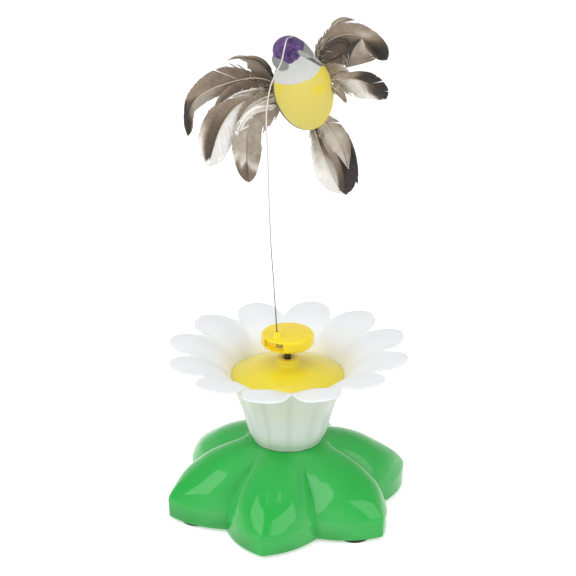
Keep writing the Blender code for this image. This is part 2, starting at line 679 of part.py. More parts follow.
def make_door():
    """The battery door with two tabs at one end and a screw ear at the other, and its screw."""
    hinge = bpy.data.objects.new("door_hinge", None)
    hinge.location = (-DOOR_HALF_L, 0, PLATE_Z)
    COLLECTION.objects.link(hinge)
    door = box("battery_door", (0, -DOOR_HALF_W, 0), (2 * DOOR_HALF_L, DOOR_HALF_W, DOOR_T), GREEN)
    door.parent = hinge
    parts = [cylinder("door_ear", DOOR_EAR_R, 0, DOOR_T, (2 * DOOR_HALF_L, 0), 20)]
    for side in (-1, 1):
        y = side * DOOR_TAB_PLACE
        low = (-DOOR_TAB_L, y - DOOR_TAB_W / 2, DOOR_T - GAP - DOOR_TAB_T)
        parts.append(box(f"door_tab_{side}", low, (DOOR_TAB_L, y + DOOR_TAB_W / 2, DOOR_T - GAP)))
    for part in parts:
        part.parent = hinge
        join(door, part)
    head_r, hole_r = DOOR_SCREW_HEAD_R + GAP, DOOR_SCREW_R + GAP
    sink = DOOR_SCREW_HEAD_T + GAP
    holes = [cylinder("door_head_seat", head_r, -OVERRUN, sink, (2 * DOOR_HALF_L, 0), 16)]
    holes.append(cylinder("door_hole", hole_r, 0, DOOR_T + OVERRUN, (2 * DOOR_HALF_L, 0), 12))
    for hole in holes:
        hole.parent = hinge
        cut(door, hole)
    length = DOOR_T + PLATE_T - GAP
    screw = pan_screw("door_screw", DOOR_SCREW_R, length, DOOR_SCREW_HEAD_R, DOOR_SCREW_HEAD_T)
    screw.location = (2 * DOOR_HALF_L, 0, 0)
    screw.parent = hinge


def make_switch():
    """The slide switch over its slot in the plate, with a knob that can be reached from below."""
    y = -SWITCH_PLACE
    low = (-SWITCH_L / 2, y - SWITCH_W / 2, PLATE_TOP + GAP)
    body = box("switch_body", low, (SWITCH_L / 2, y + SWITCH_W / 2, PLATE_TOP + GAP + SWITCH_H), BLACK)
    room = PLATE_TOP + GAP + SWITCH_H / 2
    slot_l, slot_w = (SWITCH_TRAVEL + KNOB_L) / 2 + GAP, KNOB_W / 2 + GAP
    cut(body, box("knob_room", (-slot_l, y - slot_w, PLATE_TOP - OVERRUN), (slot_l, y + slot_w, room)))
    start = -SWITCH_TRAVEL / 2
    knob_z = PLATE_Z - KNOB_PROUD
    low = (start - KNOB_L / 2, y - KNOB_W / 2, knob_z)
    knob = box("switch_knob", low, (start + KNOB_L / 2, y + KNOB_W / 2, room - GAP), BLACK)
    groove = (start - KNOB_GRIP / 4, y - KNOB_W, knob_z - OVERRUN)
    cut(knob, box("knob_groove", groove, (start + KNOB_GRIP / 4, y + KNOB_W, knob_z + KNOB_GRIP / 2)))


def petal_edge_radius(angle):
    """The radius of the flower's edge at an angle from a petal's ridge: a round tip, then the notch."""
    half = math.pi / PETALS
    centre = PETAL_TIP_R - PETAL_ROUND_L
    side_angle = math.atan2(PETAL_HALF_W, centre)
    if angle >= side_angle:
        side_r = math.hypot(centre, PETAL_HALF_W)
        share = (angle - side_angle) / (half - side_angle)
        return side_r + (PETAL_NOTCH_R - side_r) * share
    a = (math.cos(angle) / PETAL_ROUND_L) ** 2 + (math.sin(angle) / PETAL_HALF_W) ** 2
    b = -2 * centre * math.cos(angle) / PETAL_ROUND_L**2
    c = (centre / PETAL_ROUND_L) ** 2 - 1
    return (-b + math.sqrt(b * b - 4 * a * c)) / (2 * a)


def cup_top_profile(share):
    """Radii and heights of the cup's top, at a share of the way from a petal's ridge to the groove."""
    blend = share**2
    edge_r = petal_edge_radius(share * math.pi / PETALS)
    profile = []
    reach, rise = PETAL_TIP_R - COLLAR_R, CUP_TOP_Z - CUP_FLOOR_Z
    for number, (ridge_out, ridge_up, groove_out, groove_up) in enumerate(CUP_SHARES):
        out = ridge_out + (groove_out - ridge_out) * blend
        up = ridge_up + (groove_up - ridge_up) * blend
        radius = COLLAR_R + out * reach
        step = number - (len(CUP_SHARES) - EDGE_RINGS)
        if step > 0:
            plain_edge = CUP_SHARES[-1][0] + (CUP_SHARES[-1][2] - CUP_SHARES[-1][0]) * blend
            plain_r = COLLAR_R + plain_edge * reach
            radius += (edge_r - plain_r) * (step / (EDGE_RINGS - 1)) ** 2
        profile.append((radius, CUP_FLOOR_Z + up * rise))
    return profile


def cup_bottom_radius(height):
    """The least inner radius of the cup, in its grooves, at a height."""
    reach, rise = PETAL_TIP_R - COLLAR_R, CUP_TOP_Z - CUP_FLOOR_Z
    places = [(CUP_FLOOR_Z + row[3] * rise, COLLAR_R + row[2] * reach) for row in CUP_SHARES]
    return float(np.interp(height, [p[0] for p in places], [p[1] for p in places]))


def cup_loop(share):
    """The closed section of the cup in one plane: up the inside to the petal's edge, and back underneath."""
    top = cup_top_profile(share)
    count = len(top)
    under = []
    for number in range(2, count):
        before, after = Vector(top[number - 1]), Vector(top[min(number + 1, count - 1)])
        way = (after - before).normalized()
        wall = CUP_WALL * (1 + (PETAL_EDGE_WALL_SHARE - 1) * number / (count - 1))
        under.append(Vector(top[number]) + Vector((way.y, -way.x)) * wall)
    floor_r = COLLAR_R + COLLAR_T
    foot_z = CUP_FLOOR_Z - CUP_FLOOR_T
    lower = [(COLLAR_R, foot_z - COLLAR_DROP), (COLLAR_R, CUP_FLOOR_Z)]
    back = [(top[1][0], foot_z), (floor_r, foot_z), (floor_r, foot_z - COLLAR_DROP)]
    return lower + [tuple(p) for p in top] + [tuple(p) for p in reversed(under)] + back


def make_cup():
    """The flower cup and its twelve petals: one closed section carried round, with flutes and rounded tips."""
    half = math.pi / PETALS
    shares = [-s for s in reversed(PETAL_COLUMN_SHARES[1:])] + list(PETAL_COLUMN_SHARES) + [1.0]
    points, columns = [], 0
    for petal in range(PETALS):
        for share in shares:
            angle = FIRST_LOBE + 2 * petal * half + share * half
            loop = cup_loop(abs(share))
            points += [(r * math.cos(angle), r * math.sin(angle), z) for r, z in loop]
            columns += 1
    size = len(loop)
    faces = []
    for column in range(columns):
        here, after = column * size, ((column + 1) % columns) * size
        for step in range(size):
            ahead = (step + 1) % size
            faces.append((here + step, here + ahead, after + ahead, after + step))
    add_object("flower_cup", mesh_of("flower_cup", points, faces), WHITE)


GEAR_DISTANCE = (SMALL_TEETH + LARGE_TEETH) / 2 * GEAR_MODULE
LARGE_R = (LARGE_TEETH / 2 + ADDENDUM_SHARE) * GEAR_MODULE
IDLER_AT = Vector((0, GEAR_DISTANCE))
MOTOR_AT = Vector(
    (
        math.sqrt(MOTOR_OFFSET**2 - (MOTOR_OFFSET**2 / (2 * GEAR_DISTANCE)) ** 2),
        MOTOR_OFFSET**2 / (2 * GEAR_DISTANCE),
    )
)
FLOOR_TOP = GEARBOX_Z + GEARBOX_T
LOW_GEAR_Z = FLOOR_TOP + LEVEL_GAP
HIGH_GEAR_Z = LOW_GEAR_Z + GEAR_T + LEVEL_GAP
HIGH_GEAR_TOP = HIGH_GEAR_Z + PINION_L
COVER_Z = HIGH_GEAR_TOP + LEVEL_GAP
COVER_TOP = COVER_Z + COVER_T
POST_PLACES = [polar(POST_PLACE_R, FIRST_POST + 2 * math.pi * n / POSTS) for n in range(POSTS)]
DOME_R = cup_bottom_radius(DOME_RIM_Z) - GAP


def dome_height(radius):
    """The height of the dome's outer face at a radius."""
    out = max(0, (radius - DOME_COLLAR_R) / (DOME_R - DOME_COLLAR_R))
    return DOME_CROWN_Z - (DOME_CROWN_Z - DOME_RIM_Z) * out**2


def make_flower_centre():
    """The yellow dome with its collar, hollow below, with three screw posts that stand on the gearbox."""
    radii = [DOME_COLLAR_R + share * (DOME_R - DOME_COLLAR_R) for share in DOME_SHARES]
    lip_z = DOME_RIM_Z - DOME_LIP
    taper = DOME_R - (cup_bottom_radius(DOME_RIM_Z) - cup_bottom_radius(lip_z))
    outer = [(0, DOME_CROWN_Z + DOME_COLLAR_H), (DOME_COLLAR_R - GAP, DOME_CROWN_Z + DOME_COLLAR_H)]
    outer += [(DOME_COLLAR_R, DOME_CROWN_Z + DOME_COLLAR_H - GAP)]
    outer += [(r, dome_height(r)) for r in radii] + [(taper, lip_z), (0, lip_z)]
    dome = turned("flower_centre", outer, DOME_STEPS, YELLOW)
    inner = [(0, DOME_CROWN_Z - DOME_WALL), (DOME_COLLAR_R, DOME_CROWN_Z - DOME_WALL)]
    for share in CAVITY_SHARES:
        radius = DOME_COLLAR_R + share * (taper - DOME_WALL - DOME_COLLAR_R)
        inner.append((radius, dome_height(radius) - DOME_WALL))
    inner += [(taper - DOME_WALL, lip_z - OVERRUN), (0, lip_z - OVERRUN)]
    cavity = turned("dome_cavity", inner, DOME_STEPS)
    for number, at in enumerate(POST_PLACES):
        post = cylinder(f"post_root_{number}", POST_R + GAP, lip_z - 2 * OVERRUN, DOME_CROWN_Z, at, 12)
        cut(cavity, post)
    cut(dome, cavity)
    for number, at in enumerate(POST_PLACES):
        post = cylinder(f"dome_post_{number}", POST_R, FLOOR_TOP + GAP, lip_z + OVERRUN, at, 12)
        join(dome, post)
    for number, at in enumerate(POST_PLACES):
        top = GEARBOX_Z + GEARBOX_SCREW_L
        hole = cylinder(f"post_hole_{number}", GEARBOX_SCREW_R + RUNNING_GAP, FLOOR_TOP, top, at, 10)
        cut(dome, hole)
    bore_top = DOME_CROWN_Z + DOME_COLLAR_H + OVERRUN
    cut(dome, cylinder("bush_hole", BUSH_R + GAP, lip_z, bore_top, steps=20))


def make_bush():
    """The bush in the collar that the shaft runs in."""
    top = DOME_CROWN_Z + DOME_COLLAR_H + BUSH_RISE
    low = DOME_CROWN_Z - DOME_WALL - 2 * OVERRUN
    bore = SHAFT_R + RUNNING_GAP
    turned("shaft_bush", [(bore, top), (BUSH_R, top), (BUSH_R, low), (bore, low)], 20, BRASS)


def stadium(radius, steps=10):
    """The outline round the output gear and the idler gear, at a radius from both axes."""
    far_half = np.linspace(0, math.pi, steps)
    near_half = np.linspace(math.pi, 2 * math.pi, steps)
    outline = [(radius * math.cos(a), IDLER_AT.y + radius * math.sin(a)) for a in far_half]
    return outline + [(radius * math.cos(a), radius * math.sin(a)) for a in near_half]


def motor_outline(grow=0.0, steps=24):
    """The round motor with its two flats, centred on the motor's axis."""
    radius, flat = MOTOR_R + grow, MOTOR_FLAT + grow
    outline = []
    for number in range(steps):
        angle = 2 * math.pi * (number + 0.5) / steps
        across = min(flat, max(-flat, radius * math.cos(angle)))
        outline.append((MOTOR_AT.x + across, MOTOR_AT.y + radius * math.sin(angle)))
    return outline


def make_gearbox():
    """The gearbox tray, which carries the motor in a cradle below it, its cover, and its screws."""
    plate_r = cup_bottom_radius(GEARBOX_Z) - GAP
    tray = cylinder("gearbox_base", plate_r, GEARBOX_Z, FLOOR_TOP, steps=40, material=GREY)
    wall_r = LARGE_R + GEAR_ROOM
    join(tray, prism("gear_wall", stadium(wall_r + GEARBOX_WALL), GEARBOX_Z + GAP, COVER_Z - GAP))
    cut(tray, prism("gear_room", stadium(wall_r), FLOOR_TOP, COVER_Z + OVERRUN))
    cradle = motor_outline(GAP + CRADLE_T)
    join(tray, prism("cradle", cradle, GEARBOX_Z - CRADLE_L, GEARBOX_Z + GAP))
    room_low = GEARBOX_Z - CRADLE_L - OVERRUN
    cut(tray, prism("motor_room", motor_outline(GAP), room_low, GEARBOX_Z))
    low, high = GEARBOX_Z - OVERRUN, FLOOR_TOP + OVERRUN
    cut(tray, cylinder("motor_boss_hole", MOTOR_BOSS_R + GAP, low, high, MOTOR_AT, 16))
    journal = JOURNAL_R + RUNNING_GAP
    cut(tray, cylinder("journal_hole", journal, GEARBOX_Z + GAP, FLOOR_TOP + OVERRUN, steps=12))
    for number, at in enumerate(POST_PLACES):
        cut(tray, cylinder(f"gearbox_hole_{number}", GEARBOX_SCREW_R + GAP, low, high, at, 12))
    skirt_r = wall_r + 2 * GEARBOX_WALL + GAP
    skirt_z = COVER_Z - COVER_SKIRT
    cover = prism("gearbox_cover", stadium(skirt_r), skirt_z, COVER_TOP, GREY)
    cut(cover, prism("skirt_room", stadium(skirt_r - GEARBOX_WALL), skirt_z - OVERRUN, COVER_Z))
    cut(cover, cylinder("cover_hole", SHAFT_R + GAP, COVER_Z - OVERRUN, COVER_TOP + OVERRUN, steps=16))
    pin_top = COVER_Z + COVER_T / 2
    pin_hole = IDLER_PIN_R + RUNNING_GAP
    cut(cover, cylinder("cover_pin_hole", pin_hole, COVER_Z - OVERRUN, pin_top, IDLER_AT, 12))
    cut(tray, cylinder("tray_pin_hole", pin_hole, GEARBOX_Z + GAP, FLOOR_TOP + OVERRUN, IDLER_AT, 12))
    low, high = GEARBOX_Z + 2 * GAP, pin_top - GAP
    cylinder("idler_pin", IDLER_PIN_R, low, high, IDLER_AT, 12, material=STEEL)
    for number, at in enumerate(POST_PLACES, 1):
        length = GEARBOX_SCREW_L - 2 * GAP + GEARBOX_SCREW_HEAD_T
        shank_r = GEARBOX_SCREW_R - RUNNING_GAP
        name = f"gearbox_screw_{number}"
        screw = pan_screw(name, shank_r, length, GEARBOX_SCREW_HEAD_R, GEARBOX_SCREW_HEAD_T)
        screw.location = (*at, GEARBOX_Z - GAP - GEARBOX_SCREW_HEAD_T)


def gear_outline(teeth, phase):
    """The outline of a gear with one tooth at an angle: straight-sided teeth that narrow to their tips."""
    pitch = 2 * math.pi / teeth
    outer, root = (teeth / 2 + ADDENDUM_SHARE) * GEAR_MODULE, (teeth / 2 - DEDENDUM_SHARE) * GEAR_MODULE
    wide, thin = ROOT_WIDTH_SHARE * pitch, TIP_WIDTH_SHARE * pitch
    outline = []
    for tooth in range(teeth):
        middle = phase + tooth * pitch
        for radius, offset in ((root, -wide), (outer, -thin), (outer, thin), (root, wide)):
            outline.append((radius * math.cos(middle + offset), radius * math.sin(middle + offset)))
    return outline


def make_gears():
    """Output gear and shaft, compound gear and motor pinion, all in mesh at rest."""
    to_idler = math.pi / 2
    output_phase = to_idler
    compound_low_phase = math.atan2(MOTOR_AT.y - IDLER_AT.y, MOTOR_AT.x - IDLER_AT.x)
    compound_high_phase = to_idler + math.pi + math.pi / SMALL_TEETH
    motor_phase = compound_low_phase + math.pi + math.pi / SMALL_TEETH
    low_gear_top = LOW_GEAR_Z + GEAR_T
    gear = prism("output_gear", gear_outline(LARGE_TEETH, output_phase), HIGH_GEAR_Z, HIGH_GEAR_TOP, NYLON)
    bore_low, bore_top = HIGH_GEAR_Z - OVERRUN, HIGH_GEAR_TOP + OVERRUN
    cut(gear, cylinder("gear_bore", SHAFT_R + GAP, bore_low, bore_top, steps=16))
    shaft_top = ROTOR_Z + ROTOR_BORE_L - GAP
    foot = GEARBOX_Z + 2 * GAP
    shoulder = HIGH_GEAR_Z - GAP
    profile = [(0, shaft_top), (SHAFT_R, shaft_top), (SHAFT_R, HIGH_GEAR_TOP + LEVEL_GAP / 2)]
    profile += [(SHAFT_R, shoulder), (JOURNAL_R, shoulder), (JOURNAL_R, foot), (0, foot)]
    turned("output_shaft", profile, 16, STEEL)
    outline = gear_outline(LARGE_TEETH, compound_low_phase)
    compound = prism("compound_gear", outline, LOW_GEAR_Z, low_gear_top, NYLON)
    outline = gear_outline(SMALL_TEETH, compound_high_phase)
    small = prism("compound_pinion", outline, LOW_GEAR_Z, HIGH_GEAR_TOP)
    join(compound, small)
    bore = IDLER_PIN_R + RUNNING_GAP
    cut(compound, cylinder("compound_bore", bore, LOW_GEAR_Z - OVERRUN, HIGH_GEAR_TOP + OVERRUN, steps=12))
    compound.location = (*IDLER_AT, 0)
    pinion = prism("motor_pinion", gear_outline(SMALL_TEETH, motor_phase), LOW_GEAR_Z, low_gear_top, BRASS)
    stub_low = GEARBOX_Z - MOTOR_SHAFT_SINK
    stub = cylinder("pinion_shaft", MOTOR_SHAFT_R, stub_low, LOW_GEAR_Z + GEAR_T / 2, steps=12)
    join(pinion, stub)
    pinion.location = (*MOTOR_AT, 0)
    for cutter in (small, bpy.data.objects["compound_bore"]):
        cutter.location += Vector((*IDLER_AT, 0))
    stub.location += Vector((*MOTOR_AT, 0))


def make_motor():
    """The motor: its can with a boss, and the end cap with two terminals."""
    top = GEARBOX_Z - GAP
    low = top - MOTOR_CAN_L
    can = prism("motor_can", motor_outline(), low, top, STEEL)
    join(can, cylinder("motor_boss", MOTOR_BOSS_R, top - OVERRUN, top + MOTOR_BOSS_H, MOTOR_AT, 16))
    hole_low = GEARBOX_Z - MOTOR_SHAFT_SINK - GAP
    hole_r = MOTOR_SHAFT_R + RUNNING_GAP
    cut(can, cylinder("motor_shaft_hole", hole_r, hole_low, top + MOTOR_BOSS_H + OVERRUN, MOTOR_AT, 12))
    cap_top = low - GAP
    cap = prism("motor_end_cap", motor_outline(-GAP), cap_top - MOTOR_CAP_L, cap_top, BLACK)
    for side in (-1, 1):
        y = MOTOR_AT.y + side * TERMINAL_PLACE
        foot = cap_top - MOTOR_CAP_L
        corner = (MOTOR_AT.x - TERMINAL_W / 2, y - TERMINAL_T / 2, foot - TERMINAL_L)
        far_corner = (MOTOR_AT.x + TERMINAL_W / 2, y + TERMINAL_T / 2, foot + OVERRUN)
        join(cap, box(f"terminal_{side}", corner, far_corner))


def make_leads():
    """The three leads: cell to motor, cell to switch and switch to motor, each held at both ends."""
    terminal_z = GEARBOX_Z - 2 * GAP - MOTOR_CAN_L - MOTOR_CAP_L - TERMINAL_L / 2
    beside = TERMINAL_T / 2 + LEAD_R + GAP
    tab_x = BAY_HALF_L - GAP - CONTACT_T / 2
    tab_z = BAY_TOP_Z + TAB_RISE / 2
    over = BAY_TOP_Z + LEAD_R + GAP
    to_tab = CONTACT_T / 2 + LEAD_R + GAP
    wall_y = -BAY_HALF_W - BAY_WALL - LEAD_R - GAP
    switch_z = PLATE_TOP + GAP + SWITCH_H + LEAD_R + GAP
    tube(
        "lead_negative",
        [
            (MOTOR_AT.x, MOTOR_AT.y + TERMINAL_PLACE + beside, terminal_z),
            (MOTOR_AT.x - 4 * LEAD_R, MOTOR_AT.y + TERMINAL_PLACE + beside, terminal_z - LEAD_R),
            (-MOTOR_R, 0, over + 2 * LEAD_R),
            (-2 * MOTOR_R, -CELL_R, over),
            (-tab_x + 6 * LEAD_R, -CELL_PITCH, over),
            (-tab_x + to_tab, -CELL_PITCH, tab_z),
        ],
        LEAD_R,
        BLACK,
    )
    tube(
        "lead_positive",
        [
            (tab_x - to_tab, CELL_PITCH, tab_z),
            (tab_x - to_tab - 4 * LEAD_R, CELL_PITCH, over),
            (tab_x - to_tab - 4 * LEAD_R, 0, over),
            (tab_x - to_tab - 6 * LEAD_R, -BAY_HALF_W, over + LEAD_R),
            (tab_x - to_tab - 8 * LEAD_R, wall_y - LEAD_R, over),
            (MOTOR_R + 4 * LEAD_R, wall_y - 2 * LEAD_R, BAY_ROOF_Z - 4 * LEAD_R),
            (SWITCH_L / 2 + LEAD_R, wall_y - 2 * LEAD_R, switch_z + LEAD_R),
            (SWITCH_L / 4, -SWITCH_PLACE, switch_z),
        ],
        LEAD_R,
        RED,
    )
    tube(
        "lead_switched",
        [
            (-SWITCH_L / 4, -SWITCH_PLACE, switch_z),
            (-SWITCH_L / 4, wall_y - 2 * LEAD_R, BAY_ROOF_Z - 2 * LEAD_R),
            (-SWITCH_L / 4, wall_y, over + LEAD_R),
            (0, -CELL_PITCH, over),
            (MOTOR_AT.x, MOTOR_AT.y - TERMINAL_PLACE - 4 * LEAD_R, over + LEAD_R),
            (MOTOR_AT.x, MOTOR_AT.y - TERMINAL_PLACE - beside, terminal_z),
        ],
        LEAD_R,
        RED,
    )


def turned_frame():
    """The empty that carries the rotor and the lure, turned about the axis as in the photo."""
    frame = bpy.data.objects.new("rotor_frame", None)
    frame.rotation_euler = (0, 0, ROTOR_TURN)
    COLLECTION.objects.link(frame)
    return frame


def make_rotor(frame):
    """The rotor disc: rounded edges, a bore for the shaft, a boss and a flared bore for the wire, a recess."""
    top = ROTOR_Z + ROTOR_T
    edge = ROTOR_EDGE
    arc = [math.radians(a) for a in (0, 45, 90)]
    profile = [(0, top)]
    profile += [(ROTOR_R - edge + edge * math.sin(a), top - edge + edge * math.cos(a)) for a in arc]
    profile += [(ROTOR_R - edge + edge * math.cos(a), ROTOR_Z + edge - edge * math.sin(a)) for a in arc]
    profile += [(0, ROTOR_Z)]
    disc = turned("rotor_disc", profile, 40, ROTOR_YELLOW)
    boss_top = top + BOSS_H
    parts = [(join, cylinder("wire_boss", BOSS_R, top - OVERRUN, boss_top, BOSS_PLACE, 16, BOSS_TOP_R))]
    bore_low = ROTOR_Z - OVERRUN
    parts.append((cut, cylinder("rotor_bore", SHAFT_R + GAP, bore_low, ROTOR_Z + ROTOR_BORE_L, steps=16)))
    recess_low = ROTOR_Z + RECESS_FLOOR
    recess = box("recess", (RECESS_START, -RECESS_W / 2, 0), (ROTOR_R + OVERRUN, RECESS_W / 2, RECESS_H))
    recess.rotation_euler = (0, 0, RECESS_TURN)
    middle = Vector(((RECESS_START + ROTOR_R + OVERRUN) / 2, 0, recess_low + RECESS_H / 2))
    recess.location = Matrix.Rotation(RECESS_TURN, 3, "Z") @ middle
    parts.append((cut, recess))
    bore_low = recess_low + RECESS_H / 2
    parts.append((cut, cylinder("wire_bore", WIRE_BORE_R, bore_low, boss_top, BOSS_PLACE, 10)))
    flare = WIRE_FLARE_R + (WIRE_FLARE_R - WIRE_BORE_R) * OVERRUN / (boss_top - THROAT_Z)
    flare_top = boss_top + OVERRUN
    parts.append((cut, cylinder("wire_flare", WIRE_BORE_R, THROAT_Z, flare_top, BOSS_PLACE, 10, flare)))
    disc.parent = frame
    for work, part in parts:
        part.parent = frame
        work(disc, part)


def make_wire(frame):
    """The spring wire: a hook in the recess, up through the boss, and a long bow to the bird's head."""
    throat = Vector((BOSS_PLACE.x, BOSS_PLACE.y, THROAT_Z))
    along = Vector((-BOSS_PLACE.y, BOSS_PLACE.x, 0)).normalized()
    low = throat - Vector((0, 0, HOOK_DROP))
    bend = Vector((0, 0, 2 * WIRE_R))
    rise = Vector((0, 0, HOOK_RISE))
    hook = [low + along * HOOK_L + rise, low + along * HOOK_L, low + along * 2 * WIRE_R, low + bend]
    hook_route = [*hook, throat]
    start = throat + Vector((0, 0, 2 * BOSS_H))
    places = [throat + Vector(share * size for share, size in zip(row, WIRE_REACH)) for row in WIRE_SHARES]
    upper = smooth_route([start, *places], WIRE_STEPS // len(WIRE_SHARES))
    wire = tube("lure_wire", [*hook_route, *upper], WIRE_R, STEEL, sides=1, smooth=1)
    wire.parent = frame


def egg(name, at, half, lean, taper, material=None, grow=0.0, segments=18):
    """An egg that leans: a sphere stretched to three half-sizes and narrowed towards its lower end."""
    mesh = bpy.data.meshes.new(name)
    work = bmesh.new()
    bmesh.ops.create_uvsphere(work, u_segments=segments, v_segments=segments // 2 + 2, radius=1)
    for vert in work.verts:
        narrow = 1 - taper * 0.5 * (1 - vert.co.z) * (1 if vert.co.z < 0 else 1 - vert.co.z)
        vert.co.x *= (half.x + grow) * narrow
        vert.co.y *= (half.y + grow) * narrow
        vert.co.z *= half.z + grow
    work.to_mesh(mesh)
    work.free()
    obj = add_object(name, mesh, material, cutter=material is None)
    obj.location = at
    obj.rotation_mode = "QUATERNION"
    obj.rotation_quaternion = Vector((0, 0, 1)).rotation_difference(lean.normalized())
    return obj


def feather(name, root, bend, tip, half_w, root_y, tip_y):
    """One feather: a thin blade along a curve, narrow at its quill and full towards its tip."""
    unit = BODY_HALF.z
    points = []
    ends = [Vector((BODY_AT.x + x * unit, BODY_AT.z + z * unit)) for x, z in (root, bend, tip)]
    for step in range(FEATHER_STEPS + 1):
        t = step / FEATHER_STEPS
        middle = ends[0] * (1 - t) ** 2 + ends[1] * 2 * t * (1 - t) + ends[2] * t**2
        way = ((ends[1] - ends[0]) * (1 - t) + (ends[2] - ends[1]) * t).normalized()
        side = Vector((-way.y, way.x))
        opened = min(1, max(0, t - QUILL_SHARE) / (FULL_SHARE - QUILL_SHARE))
        blade = QUILL_WIDTH_SHARE + (1 - QUILL_WIDTH_SHARE) * math.sin(math.pi / 2 * opened)
        rounded = math.sqrt(1 - (max(0, t - ROUND_SHARE) / (1 - ROUND_SHARE)) ** 2)
        width = half_w * unit * blade * max(TIP_END_SHARE, rounded)
        y = BODY_AT.y + (root_y + (tip_y - root_y) * t) * unit
        for across in (-1, 1):
            flat = middle + side * width * across
            points.append((flat.x, y, flat.y))
    faces = [(2 * s, 2 * s + 1, 2 * s + 3, 2 * s + 2) for s in range(FEATHER_STEPS)]
    mesh = bpy.data.meshes.new(name)
    mesh.from_pydata(points, [], faces)
    obj = add_object(name, mesh, FEATHER)
    solid = obj.modifiers.new("thickness", "SOLIDIFY")
    solid.thickness = FEATHER_T
    solid.offset = 0
    return obj


def make_bird(frame):
    """The foam bird: body, head, beak and feathers, each cut back so that it seats on the larger piece."""
    body = egg("bird_body", BODY_AT, BODY_HALF, BODY_LEAN_SHARES, BODY_TAPER_SHARE, FOAM_YELLOW)
    room = egg("body_room", BODY_AT, BODY_HALF, BODY_LEAN_SHARES, BODY_TAPER_SHARE, grow=GAP)
    head = egg("bird_head", HEAD_AT, HEAD_HALF, Vector((0, 0, 1)), 0, FOAM_PURPLE, segments=14)
    head_room = egg("head_room", HEAD_AT, HEAD_HALF, Vector((0, 0, 1)), 0, grow=GAP, segments=14)
    cut(head, room)
    beak = cylinder("bird_beak", BEAK_R, -BEAK_L / 2, BEAK_L / 2, (0, 0), 12, BEAK_R / 4, FOAM_PURPLE)
    beak.location = BEAK_AT
    beak.rotation_euler = (math.pi / 2, 0, 0)
    cut(beak, head_room)
    for piece in (body, room, head, head_room, beak):
        piece.parent = frame
    for row in FEATHER_SHARES:
        blade = feather(*row)
        blade.parent = frame
        cut(blade, room)


def main():
    clear_scene()
    make_base()
    make_plate()
    make_feet()
    make_base_screws()
    make_cells()
    make_door()
    make_switch()
    make_cup()
    make_flower_centre()
    make_bush()
    make_gearbox()
    make_gears()
    make_motor()
    make_leads()
    frame = turned_frame()
    make_rotor(frame)
    make_wire(frame)
    make_bird(frame)


main()
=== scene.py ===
"""Rotating bird cat toy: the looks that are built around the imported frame.

Everything is in metres in the frame of the part: the origin lies on the rotor's axis, in the plane that the
feet stand on, with +Z up, and the first lobe of the base points along -Y. The rotor and the bird are drawn in
the rotor's own frame, which stands turned by ROTOR_TURN about the axis.
"""

from __future__ import annotations

import functools
import json
import logging
import math
from collections.abc import Iterable, Sequence
from dataclasses import dataclass, field
from enum import Enum

import bmesh
import bpy
import numpy as np
from mathutils import Matrix, Vector

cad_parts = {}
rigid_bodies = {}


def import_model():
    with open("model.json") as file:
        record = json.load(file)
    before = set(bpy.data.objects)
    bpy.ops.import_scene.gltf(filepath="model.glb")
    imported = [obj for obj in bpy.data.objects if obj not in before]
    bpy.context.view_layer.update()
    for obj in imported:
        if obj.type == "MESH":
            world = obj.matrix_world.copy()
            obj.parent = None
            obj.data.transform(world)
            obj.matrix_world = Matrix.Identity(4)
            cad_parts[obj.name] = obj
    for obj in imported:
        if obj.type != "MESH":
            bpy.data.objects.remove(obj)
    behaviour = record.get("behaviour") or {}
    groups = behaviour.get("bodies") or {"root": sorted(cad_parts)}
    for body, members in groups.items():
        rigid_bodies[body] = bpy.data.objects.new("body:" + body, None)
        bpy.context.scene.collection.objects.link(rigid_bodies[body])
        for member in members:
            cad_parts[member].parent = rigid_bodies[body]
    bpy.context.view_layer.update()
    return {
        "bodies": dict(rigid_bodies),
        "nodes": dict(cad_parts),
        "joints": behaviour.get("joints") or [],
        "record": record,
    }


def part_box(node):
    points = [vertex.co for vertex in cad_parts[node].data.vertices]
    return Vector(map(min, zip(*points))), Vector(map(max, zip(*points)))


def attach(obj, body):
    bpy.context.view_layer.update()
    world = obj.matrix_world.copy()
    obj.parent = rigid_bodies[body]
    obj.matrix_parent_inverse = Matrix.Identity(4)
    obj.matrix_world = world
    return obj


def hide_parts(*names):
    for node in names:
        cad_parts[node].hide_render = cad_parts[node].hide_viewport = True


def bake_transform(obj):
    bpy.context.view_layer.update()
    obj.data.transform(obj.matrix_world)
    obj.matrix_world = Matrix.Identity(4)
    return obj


LOG = logging.getLogger("cat_toy")

MM = 0.001
ROTOR_TURN = math.radians(11.58)
SEAM = 0.000004
ROUTE_STEPS = 24
COLOUR, VECTOR, SHAPE = "NodeSocketColor", "NodeSocketVector", "NodeSocketGeometry"

Colour = tuple[float, float, float, float]
Row = tuple[float, ...]
Profile = list[tuple[float, float]]


class Body(str, Enum):
    """The moving bodies that visible pieces ride on, by their names in the record."""

    BASE = "base"
    ROTOR = "rotor"
    LURE = "lure"


def rgb(red: int, green: int, blue: int) -> Colour:
    """Turn a screen colour into the linear values that a shader takes.

    Args:
        red: Red from 0 to 255.
        green: Green from 0 to 255.
        blue: Blue from 0 to 255.

    Returns:
        The linear red, green and blue, with an alpha of 1.
    """

    def linear(value: float) -> float:
        """One channel of the screen's curve, undone."""
        return value / 12.92 if value <= 0.04045 else ((value + 0.055) / 1.055) ** 2.4

    return (linear(red / 255), linear(green / 255), linear(blue / 255), 1.0)


